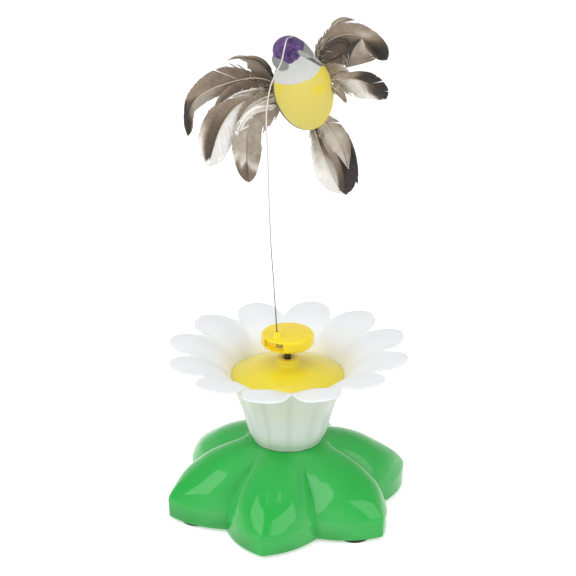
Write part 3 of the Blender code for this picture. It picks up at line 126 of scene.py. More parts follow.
@dataclass
class NodeSheet:
    """Adds nodes to one shader or geometry tree and joins them.

    Args:
        tree: The node tree that is being drawn.
    """

    tree: bpy.types.NodeTree

    def feed(self, target: bpy.types.NodeSocket, value: object) -> None:
        """Join a socket to another, or set its value.

        Args:
            target: The input socket.
            value: An output socket, or a plain value.
        """
        if isinstance(value, bpy.types.NodeSocket):
            self.tree.links.new(value, target)
        else:
            target.default_value = value

    def add(self, kind: str, feeds: dict | None = None, **settings: object) -> bpy.types.Node:
        """Add a node.

        Args:
            kind: The node's type name.
            feeds: What its inputs take, by name or number.
            settings: Properties to set on it.

        Returns:
            The new node.
        """
        made = self.tree.nodes.new(kind)
        for name, value in settings.items():
            setattr(made, name, value)
        for key, value in (feeds or {}).items():
            self.feed(made.inputs[key], value)
        return made

    def maths(self, operation: str, *values: object) -> bpy.types.NodeSocket:
        """Add a Math node.

        Args:
            operation: What it does, such as MAXIMUM.
            values: A socket or a number for each of its inputs.

        Returns:
            The node's result.
        """
        return self.add("ShaderNodeMath", dict(enumerate(values)), operation=operation).outputs[0]

    def times(self, *values: object) -> bpy.types.NodeSocket:
        """Multiply two values."""
        return self.maths("MULTIPLY", *values)

    def plus(self, *values: object) -> bpy.types.NodeSocket:
        """Add two values."""
        return self.maths("ADD", *values)

    def less(self, *values: object) -> bpy.types.NodeSocket:
        """Take the second value from the first."""
        return self.maths("SUBTRACT", *values)

    def size(self, value: object) -> bpy.types.NodeSocket:
        """Drop a value's sign."""
        return self.maths("ABSOLUTE", value)

    def span(self, value: object, low: object, high: object) -> bpy.types.NodeSocket:
        """Run smoothly from 0 at one value to 1 at another.

        Args:
            value: The socket to read.
            low: Where the result is 0.
            high: Where the result is 1.

        Returns:
            The smooth share.
        """
        feeds = {"Value": value, "From Min": low, "From Max": high}
        return self.add("ShaderNodeMapRange", feeds, interpolation_type="SMOOTHSTEP").outputs["Result"]

    def mix(self, share: object, first: object, second: object) -> bpy.types.NodeSocket:
        """Mix two colours.

        Args:
            share: How much of the second one there is.
            first: A colour or its socket.
            second: A colour or its socket.

        Returns:
            The mixed colour.
        """
        made = self.add("ShaderNodeMix", {"Factor": share}, data_type="RGBA")
        for socket, colour in zip((s for s in made.inputs if s.type == "RGBA"), (first, second)):
            self.feed(socket, colour)
        return next(socket for socket in made.outputs if socket.type == "RGBA")

    def place(self) -> bpy.types.NodeSocket:
        """Read Object coordinates."""
        return self.add("ShaderNodeTexCoord").outputs["Object"]

    def noise(
        self, place: object, scale: object, detail: float = 2.0, rough: float = 0.5
    ) -> bpy.types.NodeSocket:
        """Add a Noise Texture.

        Args:
            place: The coordinates that it reads.
            scale: Its scale, in cycles per metre.
            detail: How many finer layers it has.
            rough: How strong the finer layers are.

        Returns:
            The noise value, around 0.5.
        """
        feeds = {"Vector": place, "Scale": scale, "Detail": detail, "Roughness": rough}
        return self.add("ShaderNodeTexNoise", feeds).outputs["Fac"]

    def bump(self, height: object, depth: object) -> bpy.types.NodeSocket:
        """Add a Bump node.

        Args:
            height: The height that it reads.
            depth: How deep a height of 1 is, in metres.

        Returns:
            The bumped normal.
        """
        feeds = {"Strength": 1.0, "Distance": depth, "Height": height}
        return self.add("ShaderNodeBump", feeds).outputs["Normal"]


@dataclass(frozen=True)
class Socket:
    """One named socket of a node group.

    Args:
        name: Its name.
        kind: Its socket type.
        value: Its value where nothing is joined to it.
    """

    name: str
    kind: str = "NodeSocketFloat"
    value: object = None


def new_group(name: str, kind: str, inputs: Sequence[Socket], outputs: Sequence[Socket]) -> NodeSheet:
    """Start a node group with named inputs and outputs.

    Args:
        name: The group's name.
        kind: ShaderNodeTree or GeometryNodeTree.
        inputs: Its inputs.
        outputs: Its outputs.

    Returns:
        The sheet to draw it on. Its tree holds a Group Input and a Group Output.
    """
    tree = bpy.data.node_groups.new(name, kind)
    for sockets, way in ((inputs, "INPUT"), (outputs, "OUTPUT")):
        for socket in sockets:
            made = tree.interface.new_socket(socket.name, in_out=way, socket_type=socket.kind)
            if socket.value is not None:
                made.default_value = socket.value
    sheet = NodeSheet(tree)
    sheet.add("NodeGroupInput", name="start")
    sheet.add("NodeGroupOutput", name="end")
    return sheet


@functools.cache
def moulded_group() -> bpy.types.NodeTree:
    """Build the surface of moulded plastic: slow colour drift, uneven gloss, and a fine skin.

    Returns:
        The group, with outputs Colour, Roughness and Normal.
    """
    sheet = new_group(
        "moulded_surface",
        "ShaderNodeTree",
        (
            Socket("Colour", COLOUR),
            Socket("Second Colour", COLOUR),
            Socket("Drift Scale", value=30.0),
            Socket("Roughness", value=0.3),
            Socket("Roughness Spread", value=0.05),
            Socket("Skin Scale", value=1500.0),
            Socket("Skin Depth", value=0.00001),
        ),
        (Socket("Colour", COLOUR), Socket("Roughness"), Socket("Normal", VECTOR)),
    )
    start = sheet.tree.nodes["start"].outputs
    end = sheet.tree.nodes["end"].inputs
    place = sheet.place()
    drift = sheet.span(sheet.noise(place, start["Drift Scale"], 3.0), 0.35, 0.65)
    sheet.feed(end["Colour"], sheet.mix(drift, start["Colour"], start["Second Colour"]))
    smear = sheet.noise(place, sheet.times(start["Drift Scale"], 4.0), 4.0, 0.6)
    swing = sheet.times(sheet.less(smear, 0.5), start["Roughness Spread"])
    sheet.feed(end["Roughness"], sheet.plus(start["Roughness"], swing))
    skin = sheet.noise(place, start["Skin Scale"], 2.0)
    sheet.feed(end["Normal"], sheet.bump(skin, start["Skin Depth"]))
    return sheet.tree


@functools.cache
def hairline_group() -> bpy.types.NodeTree:
    """Build fine hairline marks that run along Z of Object coordinates and across it.

    Returns:
        The group, with outputs Mark and Normal.
    """
    sheet = new_group(
        "hairlines",
        "ShaderNodeTree",
        (
            Socket("Across Scale", value=9000.0),
            Socket("Along Scale", value=300.0),
            Socket("Depth", value=0.000004),
        ),
        (Socket("Mark"), Socket("Normal", VECTOR)),
    )
    start = sheet.tree.nodes["start"].outputs
    end = sheet.tree.nodes["end"].inputs
    across = start["Across Scale"]
    stretch = sheet.add("ShaderNodeCombineXYZ", {"X": across, "Y": across, "Z": start["Along Scale"]})
    feeds = {0: sheet.place(), 1: stretch.outputs["Vector"]}
    place = sheet.add("ShaderNodeVectorMath", feeds, operation="MULTIPLY")
    lines = sheet.noise(place.outputs["Vector"], 1.0, 3.0, 0.6)
    sheet.feed(end["Mark"], lines)
    sheet.feed(end["Normal"], sheet.bump(lines, start["Depth"]))
    return sheet.tree


@dataclass
class Finish:
    """One material in the making, with its Principled shader and its node sheet.

    Args:
        name: The material's name.
        settings: Plain values for the shader's own sockets.
    """

    name: str
    settings: dict[str, object] = field(default_factory=dict)
    material: bpy.types.Material = field(init=False)
    sheet: NodeSheet = field(init=False)
    shader: bpy.types.Node = field(init=False)

    def __post_init__(self) -> None:
        """Make the material and set the shader's plain values."""
        self.material = bpy.data.materials.new(self.name)
        self.material.use_nodes = True
        self.sheet = NodeSheet(self.material.node_tree)
        self.shader = self.material.node_tree.nodes["Principled BSDF"]
        for socket, value in self.settings.items():
            self.shader.inputs[socket].default_value = value

    def group(self, tree: bpy.types.NodeTree, **values: object) -> bpy.types.Node:
        """Place a shader node group.

        Args:
            tree: The group.
            values: What its inputs take, with each space of a socket's name written as an underscore.

        Returns:
            The group's node.
        """
        feeds = {name.replace("_", " "): value for name, value in values.items()}
        return self.sheet.add("ShaderNodeGroup", feeds, node_tree=tree)

    def wear(self, **sockets: bpy.types.NodeSocket) -> None:
        """Join outputs to the shader.

        Args:
            sockets: The shader's inputs by name, with each space written as an underscore.
        """
        for name, value in sockets.items():
            self.sheet.feed(self.shader.inputs[name.replace("_", " ")], value)

    def mould(self, **values: object) -> bpy.types.Node:
        """Wear the surface of moulded plastic.

        Args:
            values: What the group's inputs take.

        Returns:
            The group's node.
        """
        skin = self.group(moulded_group(), **values)
        outputs = skin.outputs
        self.wear(Base_Color=outputs["Colour"], Roughness=outputs["Roughness"], Normal=outputs["Normal"])
        return skin

    def mark(self, name: str) -> bpy.types.NodeSocket:
        """Read a named number of the mesh."""
        return self.sheet.add("ShaderNodeAttribute", attribute_name=name).outputs["Fac"]


@dataclass(frozen=True)
class Moulding:
    """A moulded plastic, rubber or foil finish with no pattern of its own.

    Args:
        name: The material's name.
        colour: Its main colour.
        second: The colour that it drifts to.
        roughness: Its middle roughness.
        spread: How far the roughness swings.
        skin_scale: Cycles of the skin's grain in a metre.
        skin_depth: The depth of the grain in metres.
        drift_scale: Cycles of the colour drift in a metre.
        settings: Plain values for other sockets of the shader.
    """

    name: str
    colour: Colour
    second: Colour
    roughness: float = 0.35
    spread: float = 0.08
    skin_scale: float = 1500.0
    skin_depth: float = 0.00001
    drift_scale: float = 60.0
    settings: tuple[tuple[str, object], ...] = ()

    def build(self) -> bpy.types.Material:
        """Build the material.

        Returns:
            The material.
        """
        finish = Finish(self.name, dict(self.settings))
        finish.mould(
            Colour=self.colour,
            Second_Colour=self.second,
            Drift_Scale=self.drift_scale,
            Roughness=self.roughness,
            Roughness_Spread=self.spread,
            Skin_Scale=self.skin_scale,
            Skin_Depth=self.skin_depth,
        )
        return finish.material


@dataclass(frozen=True)
class Metal:
    """A drawn or turned metal with hairlines.

    Args:
        name: The material's name.
        colour: Its bright colour.
        dull: Its darker colour.
        roughness: Its middle roughness.
        mark: The mesh's number that says where it takes the darker colour, such as the painted shade in a
            shaft's spline roots; where there is none, a stain does.
        spread: How far the roughness swings with the hairlines.
    """

    name: str
    colour: Colour
    dull: Colour
    roughness: float = 0.28
    mark: str = ""
    spread: float = 0.25

    def build(self) -> bpy.types.Material:
        """Build the material.

        Returns:
            The material.
        """
        finish = Finish(self.name, {"Metallic": 1.0})
        sheet = finish.sheet
        lines = finish.group(hairline_group()).outputs
        if self.mark:
            stain = finish.mark(self.mark)
        else:
            stain = sheet.span(sheet.noise(sheet.place(), 220.0, 4.0, 0.6), 0.45, 0.7)
        finish.wear(
            Base_Color=sheet.mix(stain, self.colour, self.dull),
            Roughness=sheet.plus(sheet.times(sheet.less(lines["Mark"], 0.5), self.spread), self.roughness),
            Normal=lines["Normal"],
        )
        return finish.material


@dataclass(frozen=True)
class LeafGreen:
    """The glossy green of the base: fuller in the middle of each lobe, paler towards its edges with a painted
    reflection, and darker low on the skirt with painted shade.

    Args:
        full: The colour in the middle of a lobe.
        pale: The paler colour beside its edges, a painted reflection.
        foot: The darker colour low on the skirt, painted shade.
    """

    full: Colour = rgb(26, 178, 66)
    pale: Colour = rgb(60, 184, 86)
    foot: Colour = rgb(30, 158, 60)

    def build(self) -> bpy.types.Material:
        """Build the material.

        Returns:
            The material.
        """
        finish = Finish("leaf_green", {"IOR": 1.5})
        sheet = finish.sheet
        # Painted reflection: the green turns paler from each lobe's ridge towards the notches.
        edge = sheet.span(finish.mark("across"), 0.35, 1.0)
        body = sheet.mix(edge, self.full, self.pale)
        # Painted shade: the green turns darker low on the skirt, near the floor.
        low = sheet.span(finish.mark("rise"), 0.3, 0.05)
        finish.mould(
            Colour=sheet.mix(low, body, self.foot),
            Second_Colour=sheet.mix(0.25, body, self.pale),
            Drift_Scale=26.0,
            Roughness=0.1,
            Roughness_Spread=0.05,
            Skin_Scale=900.0,
            Skin_Depth=0.000004,
        )
        return finish.material


@dataclass(frozen=True)
class PetalWhite:
    """The milky white of the flower cup: bluish petals, and a wall with a yellow band of painted glow from
    the centre and a green foot of painted reflection from the base.

    Args:
        petal: The colour of the petals.
        shade: The bluer white that they drift to.
        wall: The colour of the cup's wall.
        glow: The colour of the painted glow where the flower centre's light comes through the wall.
        root: The colour low on the wall, a painted reflection of the green base.
        warm: The colour inside, beside the flower centre, a painted reflection of the centre's yellow light.
        crease: The colour of the painted shade in the creases of the wall.
    """

    petal: Colour = rgb(237, 239, 241)
    shade: Colour = rgb(226, 229, 232)
    wall: Colour = rgb(236, 237, 231)
    glow: Colour = rgb(230, 231, 194)
    root: Colour = rgb(220, 229, 214)
    warm: Colour = rgb(246, 242, 218)
    crease: Colour = rgb(196, 203, 190)

    def build(self) -> bpy.types.Material:
        """Build the material.

        Returns:
            The material.
        """
        milk = {"Subsurface Weight": 0.45, "Subsurface Radius": (1.0, 0.9, 0.7), "Subsurface Scale": 0.004}
        finish = Finish("petal_white", {**milk, "IOR": 1.46})
        sheet = finish.sheet
        rise = finish.mark("rise")
        outside = finish.mark("outside")
        # Painted reflection: the outer wall turns green low down, where the base shines back.
        wall = sheet.mix(sheet.span(rise, 0.2, 0.02), self.wall, self.root)
        # Painted glow: a yellow band on the outer wall where the centre's light comes through.
        band = sheet.times(sheet.span(rise, 0.25, 0.55), sheet.span(rise, 0.95, 0.65))
        wall = sheet.mix(sheet.times(band, 0.5), wall, self.glow)
        wall_share = sheet.times(sheet.span(rise, 0.98, 0.8), outside)
        # Painted shade: the creases of the outer wall are darkened.
        groove = sheet.times(sheet.span(finish.mark("across"), 0.5, 1.0), 0.3)
        # Painted reflection: the inside of the cup turns yellow beside the flower centre, as if lit by it.
        beside = sheet.times(sheet.span(rise, 0.95, 0.76), sheet.less(1.0, outside))
        colour = sheet.mix(sheet.times(beside, 0.7), self.petal, self.warm)
        colour = sheet.mix(wall_share, colour, wall)
        # Painted shade laid into the wall's creases.
        colour = sheet.mix(sheet.times(groove, wall_share), colour, self.crease)
        finish.mould(
            Colour=colour,
            Second_Colour=sheet.mix(0.3, colour, self.shade),
            Drift_Scale=40.0,
            Roughness=0.3,
            Roughness_Spread=0.1,
            Skin_Scale=1800.0,
            Skin_Depth=0.000006,
        )
        return finish.material


@dataclass(frozen=True)
class FoamPaint:
    """Painted foam: cells of the foam under soft edges of sprayed colour.

    The mesh carries how much of each colour a place has: belly, rim, shade, cap, ash and bar, and how far a
    place is across the bar and along it.

    Args:
        chest: The colour of the chest.
        belly: The colour in the middle of the belly.
        belly_rim: The fuller colour round the belly's edge.
        cap: The dark colour of the cap.
        cap_light: The lighter colour of its mottling.
        ash: The grey of the bare patches.
        shade: The dark colour at the edge of the body.
        bar_pale: The pale colour of the bar below the cap.
        bar_dark: The dark colour of its dashes.
    """

    chest: Colour = rgb(213, 214, 209)
    belly: Colour = rgb(225, 209, 100)
    belly_rim: Colour = rgb(235, 211, 54)
    cap: Colour = rgb(62, 32, 92)
    cap_light: Colour = rgb(106, 72, 136)
    ash: Colour = rgb(137, 140, 139)
    shade: Colour = rgb(92, 98, 72)
    bar_pale: Colour = rgb(172, 174, 168)
    bar_dark: Colour = rgb(22, 32, 26)

    def bar(self, finish: Finish, place: bpy.types.NodeSocket) -> bpy.types.NodeSocket:
        """Draw the pale bar below the cap, with a dark line low on it and dark dashes in its middle.

        Args:
            finish: The material in the making.
            place: The coordinates.

        Returns:
            The bar's colour.
        """
        sheet = finish.sheet
        across, along = finish.mark("bar_across"), finish.mark("bar_along")
        low_line = sheet.span(sheet.size(sheet.plus(across, 0.72)), 0.42, 0.2)
        low_line = sheet.times(low_line, sheet.span(along, 0.3, 0.45))
        middle = sheet.span(sheet.size(sheet.plus(across, -0.05)), 0.42, 0.22)
        streaks = sheet.span(sheet.noise(place, 900.0, 2.0), 0.35, 0.6)
        middle = sheet.times(middle, sheet.times(sheet.span(along, 0.38, 0.55), streaks))
        return sheet.mix(sheet.maths("MAXIMUM", low_line, middle), self.bar_pale, self.bar_dark)

    def build(self) -> bpy.types.Material:
        """Build the material.

        Returns:
            The material.
        """
        finish = Finish("painted_foam", {"Sheen Weight": 0.15, "Sheen Roughness": 0.6, "IOR": 1.4})
        sheet = finish.sheet
        place = sheet.place()
        spray = sheet.times(sheet.less(sheet.noise(place, 420.0, 4.0, 0.65), 0.5), 0.35)

        def painted(name: str, low: float = 0.42, high: float = 0.58) -> bpy.types.NodeSocket:
            """How much of one paint a place has, with a sprayed edge."""
            return sheet.span(sheet.plus(finish.mark(name), spray), low, high)

        rim = sheet.span(finish.mark("rim"), 0.15, 0.85)
        belly = sheet.mix(rim, self.belly, self.belly_rim)
        mottle = sheet.span(sheet.noise(place, 310.0, 3.0, 0.6), 0.42, 0.68)
        cap = sheet.mix(mottle, self.cap, self.cap_light)
        colour = sheet.mix(painted("belly"), self.chest, belly)
        colour = sheet.mix(painted("shade"), colour, self.shade)
        colour = sheet.mix(painted("cap", 0.38, 0.62), colour, cap)
        colour = sheet.mix(painted("ash", 0.4, 0.6), colour, self.ash)
        colour = sheet.mix(finish.mark("bar"), colour, self.bar(finish, place))
        cells = sheet.add("ShaderNodeTexVoronoi", {"Vector": place, "Scale": 2600.0}, feature="F1")
        pits = sheet.span(cells.outputs["Distance"], 0.0, 0.5)
        fine = sheet.times(sheet.noise(place, 5200.0, 3.0), 0.5)
        finish.wear(
            Base_Color=colour,
            Roughness=sheet.plus(sheet.times(mottle, 0.12), 0.6),
            Normal=sheet.bump(sheet.plus(pits, fine), 0.00007),
        )
        return finish.material


@dataclass(frozen=True)
class Plumage:
    """The feathers' colours, from white down to nearly black, worn with a painted glow in the same colours.

    Each barb carries tone, tip_tone and out: its tone at the quill, its tone at its end, and the share of its
    length. The down carries them too.

    Args:
        stops: The colour at each tone.
        glow: How strongly the barbs glow in their own colour, a painted glow that stands in for light through
            them.
    """

    stops: tuple[tuple[float, Colour], ...] = (
        (0.0, rgb(255, 255, 252)),
        (0.2, rgb(228, 222, 211)),
        (0.45, rgb(157, 141, 122)),
        (0.68, rgb(106, 89, 72)),
        (1.0, rgb(46, 38, 33)),
    )
    glow: float = 0.12

    def build(self) -> bpy.types.Material:
        """Build the material.

        Returns:
            The material.
        """
        soft = {"Sheen Weight": 0.3, "Sheen Roughness": 0.4, "IOR": 1.5}
        # Painted glow: the feathers emit their own colour as if lit through.
        finish = Finish("plumage", {**soft, "Emission Strength": self.glow})
        sheet = finish.sheet
        place = sheet.place()
        reach = sheet.span(finish.mark("out"), 0.45, 0.9)
        root_share = sheet.times(finish.mark("tone"), sheet.less(1.0, reach))
        tip_share = sheet.times(finish.mark("tip_tone"), reach)
        streak = sheet.less(sheet.noise(place, 190.0, 3.0, 0.6), 0.5)
        tone = sheet.plus(sheet.plus(root_share, tip_share), sheet.times(streak, 0.3))
        ramp = sheet.add("ShaderNodeValToRGB", {"Fac": tone})
        places = ramp.color_ramp.elements
        while len(places) < len(self.stops):
            places.new(0.5)
        for element, (at, colour) in zip(places, self.stops):
            element.position = at
            element.color = colour
        down = sheet.noise(place, 3000.0, 2.0)
        finish.wear(
            Base_Color=ramp.outputs["Color"],
            # Painted glow colour, the same as the feather's own colour.
            Emission_Color=ramp.outputs["Color"],
            Roughness=sheet.plus(sheet.times(down, 0.2), 0.5),
            Normal=sheet.bump(down, 0.00002),
        )
        return finish.material


@dataclass(frozen=True)
class Quill:
    """The horn of a feather's shaft: pale and waxy, and darker where the mesh's tone says so."""

    pale: Colour = rgb(216, 202, 182)
    dark: Colour = rgb(58, 46, 38)

    def build(self) -> bpy.types.Material:
        """Build the material.

        Returns:
            The material.
        """
        finish = Finish("quill_horn", {"IOR": 1.5})
        sheet = finish.sheet
        cloud = sheet.noise(sheet.place(), 400.0, 3.0)
        tone = sheet.span(sheet.plus(finish.mark("tone"), sheet.times(cloud, 0.2)), 0.4, 0.95)
        finish.wear(
            Base_Color=sheet.mix(tone, self.pale, self.dark),
            Roughness=sheet.plus(sheet.times(cloud, 0.2), 0.25),
            Normal=sheet.bump(cloud, 0.00001),
        )
        return finish.material


@dataclass(frozen=True)
class CellSleeve:
    """A printed cell sleeve that runs along X: a dark middle, and gold past band_x metres at either end."""

    dark: Colour = rgb(26, 28, 34)
    worn: Colour = rgb(36, 38, 46)
    gold: Colour = rgb(196, 148, 74)
    band_x: float = 0.0125

    def build(self) -> bpy.types.Material:
        """Build the material.

        Returns:
            The material.
        """
        finish = Finish("cell_sleeve", {"Coat Weight": 0.5, "Coat Roughness": 0.1})
        sheet = finish.sheet
        skin = finish.mould(
            Colour=self.dark,
            Second_Colour=self.worn,
            Roughness=0.3,
            Roughness_Spread=0.1,
            Skin_Scale=1200.0,
        )
        parts = sheet.add("ShaderNodeSeparateXYZ", {"Vector": sheet.place()})
        edge = 0.1 * MM
        band = sheet.span(sheet.size(parts.outputs["X"]), self.band_x - edge, self.band_x + edge)
        finish.wear(Base_Color=sheet.mix(band, skin.outputs["Colour"], self.gold))
        return finish.material


class Palette:
    """Every finish of the toy, by the name that the sub-assemblies ask for."""

    def __init__(self) -> None:
        """Build the materials."""
        milky = (("Subsurface Weight", 0.2), ("Subsurface Scale", 0.0015), ("Coat Weight", 0.3))
        soft_yellow = (("Subsurface Weight", 0.35), ("Subsurface Scale", 0.003), ("Coat Weight", 0.2))
        self.green = LeafGreen().build()
        self.petal = PetalWhite().build()
        lemon, warm = (rgb(240, 222, 44), rgb(235, 218, 60)), (rgb(255, 228, 24), rgb(253, 220, 14))
        soot = (rgb(12, 12, 13), rgb(20, 20, 21))
        self.centre = Moulding("centre_yellow", *lemon, 0.26, 0.08, 1500.0, 0.000005, 45.0, milky).build()
        self.rotor = Moulding("rotor_yellow", *warm, 0.22, 0.08, 1400.0, 0.000006, 80.0, soft_yellow).build()
        self.rubber = Moulding("foot_rubber", *soot, 0.75, 0.15, 1100.0, 0.00004, 200.0).build()
        self.black = Moulding("black_plastic", rgb(24, 24, 26), rgb(32, 32, 35), 0.42).build()
        self.grey = Moulding("gearbox_grey", rgb(122, 126, 130), rgb(134, 137, 140), 0.45).build()
        bone = (rgb(226, 222, 208), rgb(216, 211, 194))
        self.nylon = Moulding("gear_nylon", *bone, 0.4, settings=milky).build()
        self.lead_black = Moulding("lead_black", rgb(22, 22, 23), rgb(34, 34, 36), 0.5).build()
        self.lead_red = Moulding("lead_red", rgb(178, 24, 22), rgb(160, 20, 20), 0.45).build()
        self.sleeve = CellSleeve().build()
        self.steel = Metal("steel", rgb(196, 197, 200), rgb(150, 151, 155)).build()
        self.wire = Metal("wire_steel", rgb(206, 200, 190), rgb(112, 112, 114), 0.34, "low").build()
        # Painted shade: the shaft's steel turns dark in its spline roots, where the root mark is.
        self.shaft = Metal("shaft_steel", rgb(132, 124, 108), rgb(58, 51, 42), 0.3, "root").build()
        self.brass = Metal("brass", rgb(214, 180, 104), rgb(176, 140, 78)).build()
        self.foam = FoamPaint().build()
        self.plumage = Plumage().build()
        self.quill = Quill().build()


def add_object(
    name: str, mesh: bpy.types.Mesh, material: bpy.types.Material | None = None
) -> bpy.types.Object:
    """Put a mesh in the scene.

    Args:
        name: The object's name.
        mesh: Its mesh.
        material: Its finish, if it has one yet.

    Returns:
        The new object.
    """
    obj = bpy.data.objects.new(name, mesh)
    bpy.context.scene.collection.objects.link(obj)
    if material is not None:
        mesh.materials.clear()
        mesh.materials.append(material)
    return obj


def make_mesh(name: str, points: Iterable[Sequence[float]], faces: Iterable[Sequence[int]]) -> bpy.types.Mesh:
    """Make a mesh of smooth faces.

    Args:
        name: The mesh's name.
        points: Its points.
        faces: Its faces.

    Returns:
        The mesh.
    """
    mesh = bpy.data.meshes.new(name)
    mesh.from_pydata([tuple(point) for point in points], [], [tuple(face) for face in faces])
    mesh.shade_smooth()
    return mesh


def write_marks(mesh: bpy.types.Mesh, **marks: Sequence) -> None:
    """Store named numbers, or named vectors, on a mesh's points.

    Args:
        mesh: The mesh.
        marks: The values of each name, one for each point.
    """
    for name, values in marks.items():
        given = np.asarray(values, dtype=np.float32)
        kind, key = ("FLOAT", "value") if given.ndim == 1 else ("FLOAT_VECTOR", "vector")
        made = mesh.attributes.new(name, kind, "POINT")
        made.data.foreach_set(key, given.ravel())


def grid_faces(rows: int, columns: int, closed: bool = False) -> list[tuple[int, ...]]:
    """Faces of a grid of points that is stored row by row.

    Args:
        rows: How many rows it has.
        columns: How many columns it has.
        closed: Whether the last column joins the first.

    Returns:
        The faces.
    """
    faces = []
    for row in range(rows - 1):
        for column in range(columns if closed else columns - 1):
            ahead = (column + 1) % columns
            here, above = row * columns, (row + 1) * columns
            faces.append((here + column, here + ahead, above + ahead, above + column))
    return faces


def pour(target: bpy.types.Mesh, *meshes: bpy.types.Mesh) -> None:
    """Add meshes to a mesh as they are.

    Args:
        target: The mesh that takes them.
        meshes: The meshes to add.
    """
    work = bmesh.new()
    for mesh in (target, *meshes):
        work.from_mesh(mesh)
    work.to_mesh(target)
    work.free()


def face_outwards(mesh: bpy.types.Mesh, close: bool = False) -> None:
    """Turn a mesh's faces outwards.

    Args:
        mesh: The mesh.
        close: Whether its open ends are closed first.
    """
    work = bmesh.new()
    work.from_mesh(mesh)
    if close:
        bmesh.ops.holes_fill(work, edges=work.edges, sides=0)
    bmesh.ops.recalc_face_normals(work, faces=work.faces)
    work.to_mesh(mesh)
    work.free()


def tidy_mesh(mesh: bpy.types.Mesh, distance: float = 0.000001) -> None:
    """Merge a mesh's doubles, then turn its faces outwards.

    Args:
        mesh: The mesh.
        distance: How close doubles lie.
    """
    work = bmesh.new()
    work.from_mesh(mesh)
    bmesh.ops.remove_doubles(work, verts=work.verts, dist=distance)
    bmesh.ops.dissolve_degenerate(work, edges=work.edges, dist=distance / 10)
    bmesh.ops.recalc_face_normals(work, faces=work.faces)
    work.to_mesh(mesh)
    work.free()


def turned_mesh(name: str, profile: Profile, steps: int, at: Sequence[float] = (0, 0)) -> bpy.types.Mesh:
    """Turn a closed outline about a vertical axis.

    Args:
        name: The mesh's name.
        profile: The outline's radii and heights in millimetres. It may touch the axis.
        steps: How many columns it has.
        at: Where the axis stands, in metres.

    Returns:
        The mesh in metres, with its doubles merged and its faces outwards.
    """
    points = []
    for radius, height in profile:
        for step in range(steps):
            angle, out = 2 * math.pi * step / steps, radius * MM
            points.append((at[0] + out * math.cos(angle), at[1] + out * math.sin(angle), height * MM))
    faces = grid_faces(len(profile), steps, closed=True)
    if profile[0][0] > 0 or profile[-1][0] > 0:
        last = (len(profile) - 1) * steps
        faces += [(last + s, last + (s + 1) % steps, (s + 1) % steps, s) for s in range(steps)]
    mesh = make_mesh(name, points, faces)
    tidy_mesh(mesh)
    return mesh


def arc_profile(centre: tuple[float, float], radius: float, start: float, end: float, steps: int) -> Profile:
    """Points on an arc of a profile.

    Args:
        centre: The arc's centre, as radius and height.
        radius: The arc's radius.
        start: Its first angle in degrees, from outwards towards up.
        end: Its last angle.
        steps: How many points it has.

    Returns:
        The points.
    """
    angles = np.radians(np.linspace(start, end, steps))
    return [(centre[0] + radius * math.cos(a), centre[1] + radius * math.sin(a)) for a in angles]


def rod_profile(radius: float, low: float, high: float) -> Profile:
    """The profile of a plain rod on the axis."""
    return [(0.0, high), (radius, high), (radius, low), (0.0, low)]


def polar(radius: float, turn: float, height: float) -> Vector:
    """The place in metres at a radius and a height in millimetres, and a turn about the axis in radians."""
    return Vector((radius * math.cos(turn), radius * math.sin(turn), height)) * MM


def round_about(radius: float, turn: float) -> tuple[float, float]:
    """The place in metres at a radius in millimetres and a turn about the axis in radians."""
    return (radius * MM * math.cos(turn), radius * MM * math.sin(turn))


def smooth_rows(rows: Sequence[Sequence[float]], between: int) -> np.ndarray:
    """Run a Catmull-Rom curve through rows of numbers.

    Args:
        rows: The rows.
        between: How many steps there are from one row to the next.

    Returns:
        The rows of the curve, the given ones among them.
    """
    given = np.asarray(rows, dtype=float)
    ends = np.vstack([2 * given[0] - given[1], given, 2 * given[-1] - given[-2]])
    found = []
    for number in range(1, len(ends) - 2):
        a, b, c, d = ends[number - 1 : number + 3]
        for step in range(between):
            t = step / between
            curve = 2 * b + (c - a) * t + (2 * a - 5 * b + 4 * c - d) * t**2 + (3 * b - a - 3 * c + d) * t**3
            found.append(curve / 2)
    found.append(given[-1])
    return np.array(found)


def even_route(places: Sequence[Sequence[float]], count: int) -> np.ndarray:
    """Run a smooth curve through places and share points evenly over its length.

    Args:
        places: The places.
        count: How many points to return.

    Returns:
        The points.
    """
    fine = smooth_rows(places, ROUTE_STEPS)
    reach = np.concatenate([[0], np.cumsum(np.linalg.norm(np.diff(fine, axis=0), axis=1))])
    wanted = np.linspace(0, reach[-1], count)
    return np.column_stack([np.interp(wanted, reach, fine[:, axis]) for axis in range(fine.shape[1])])


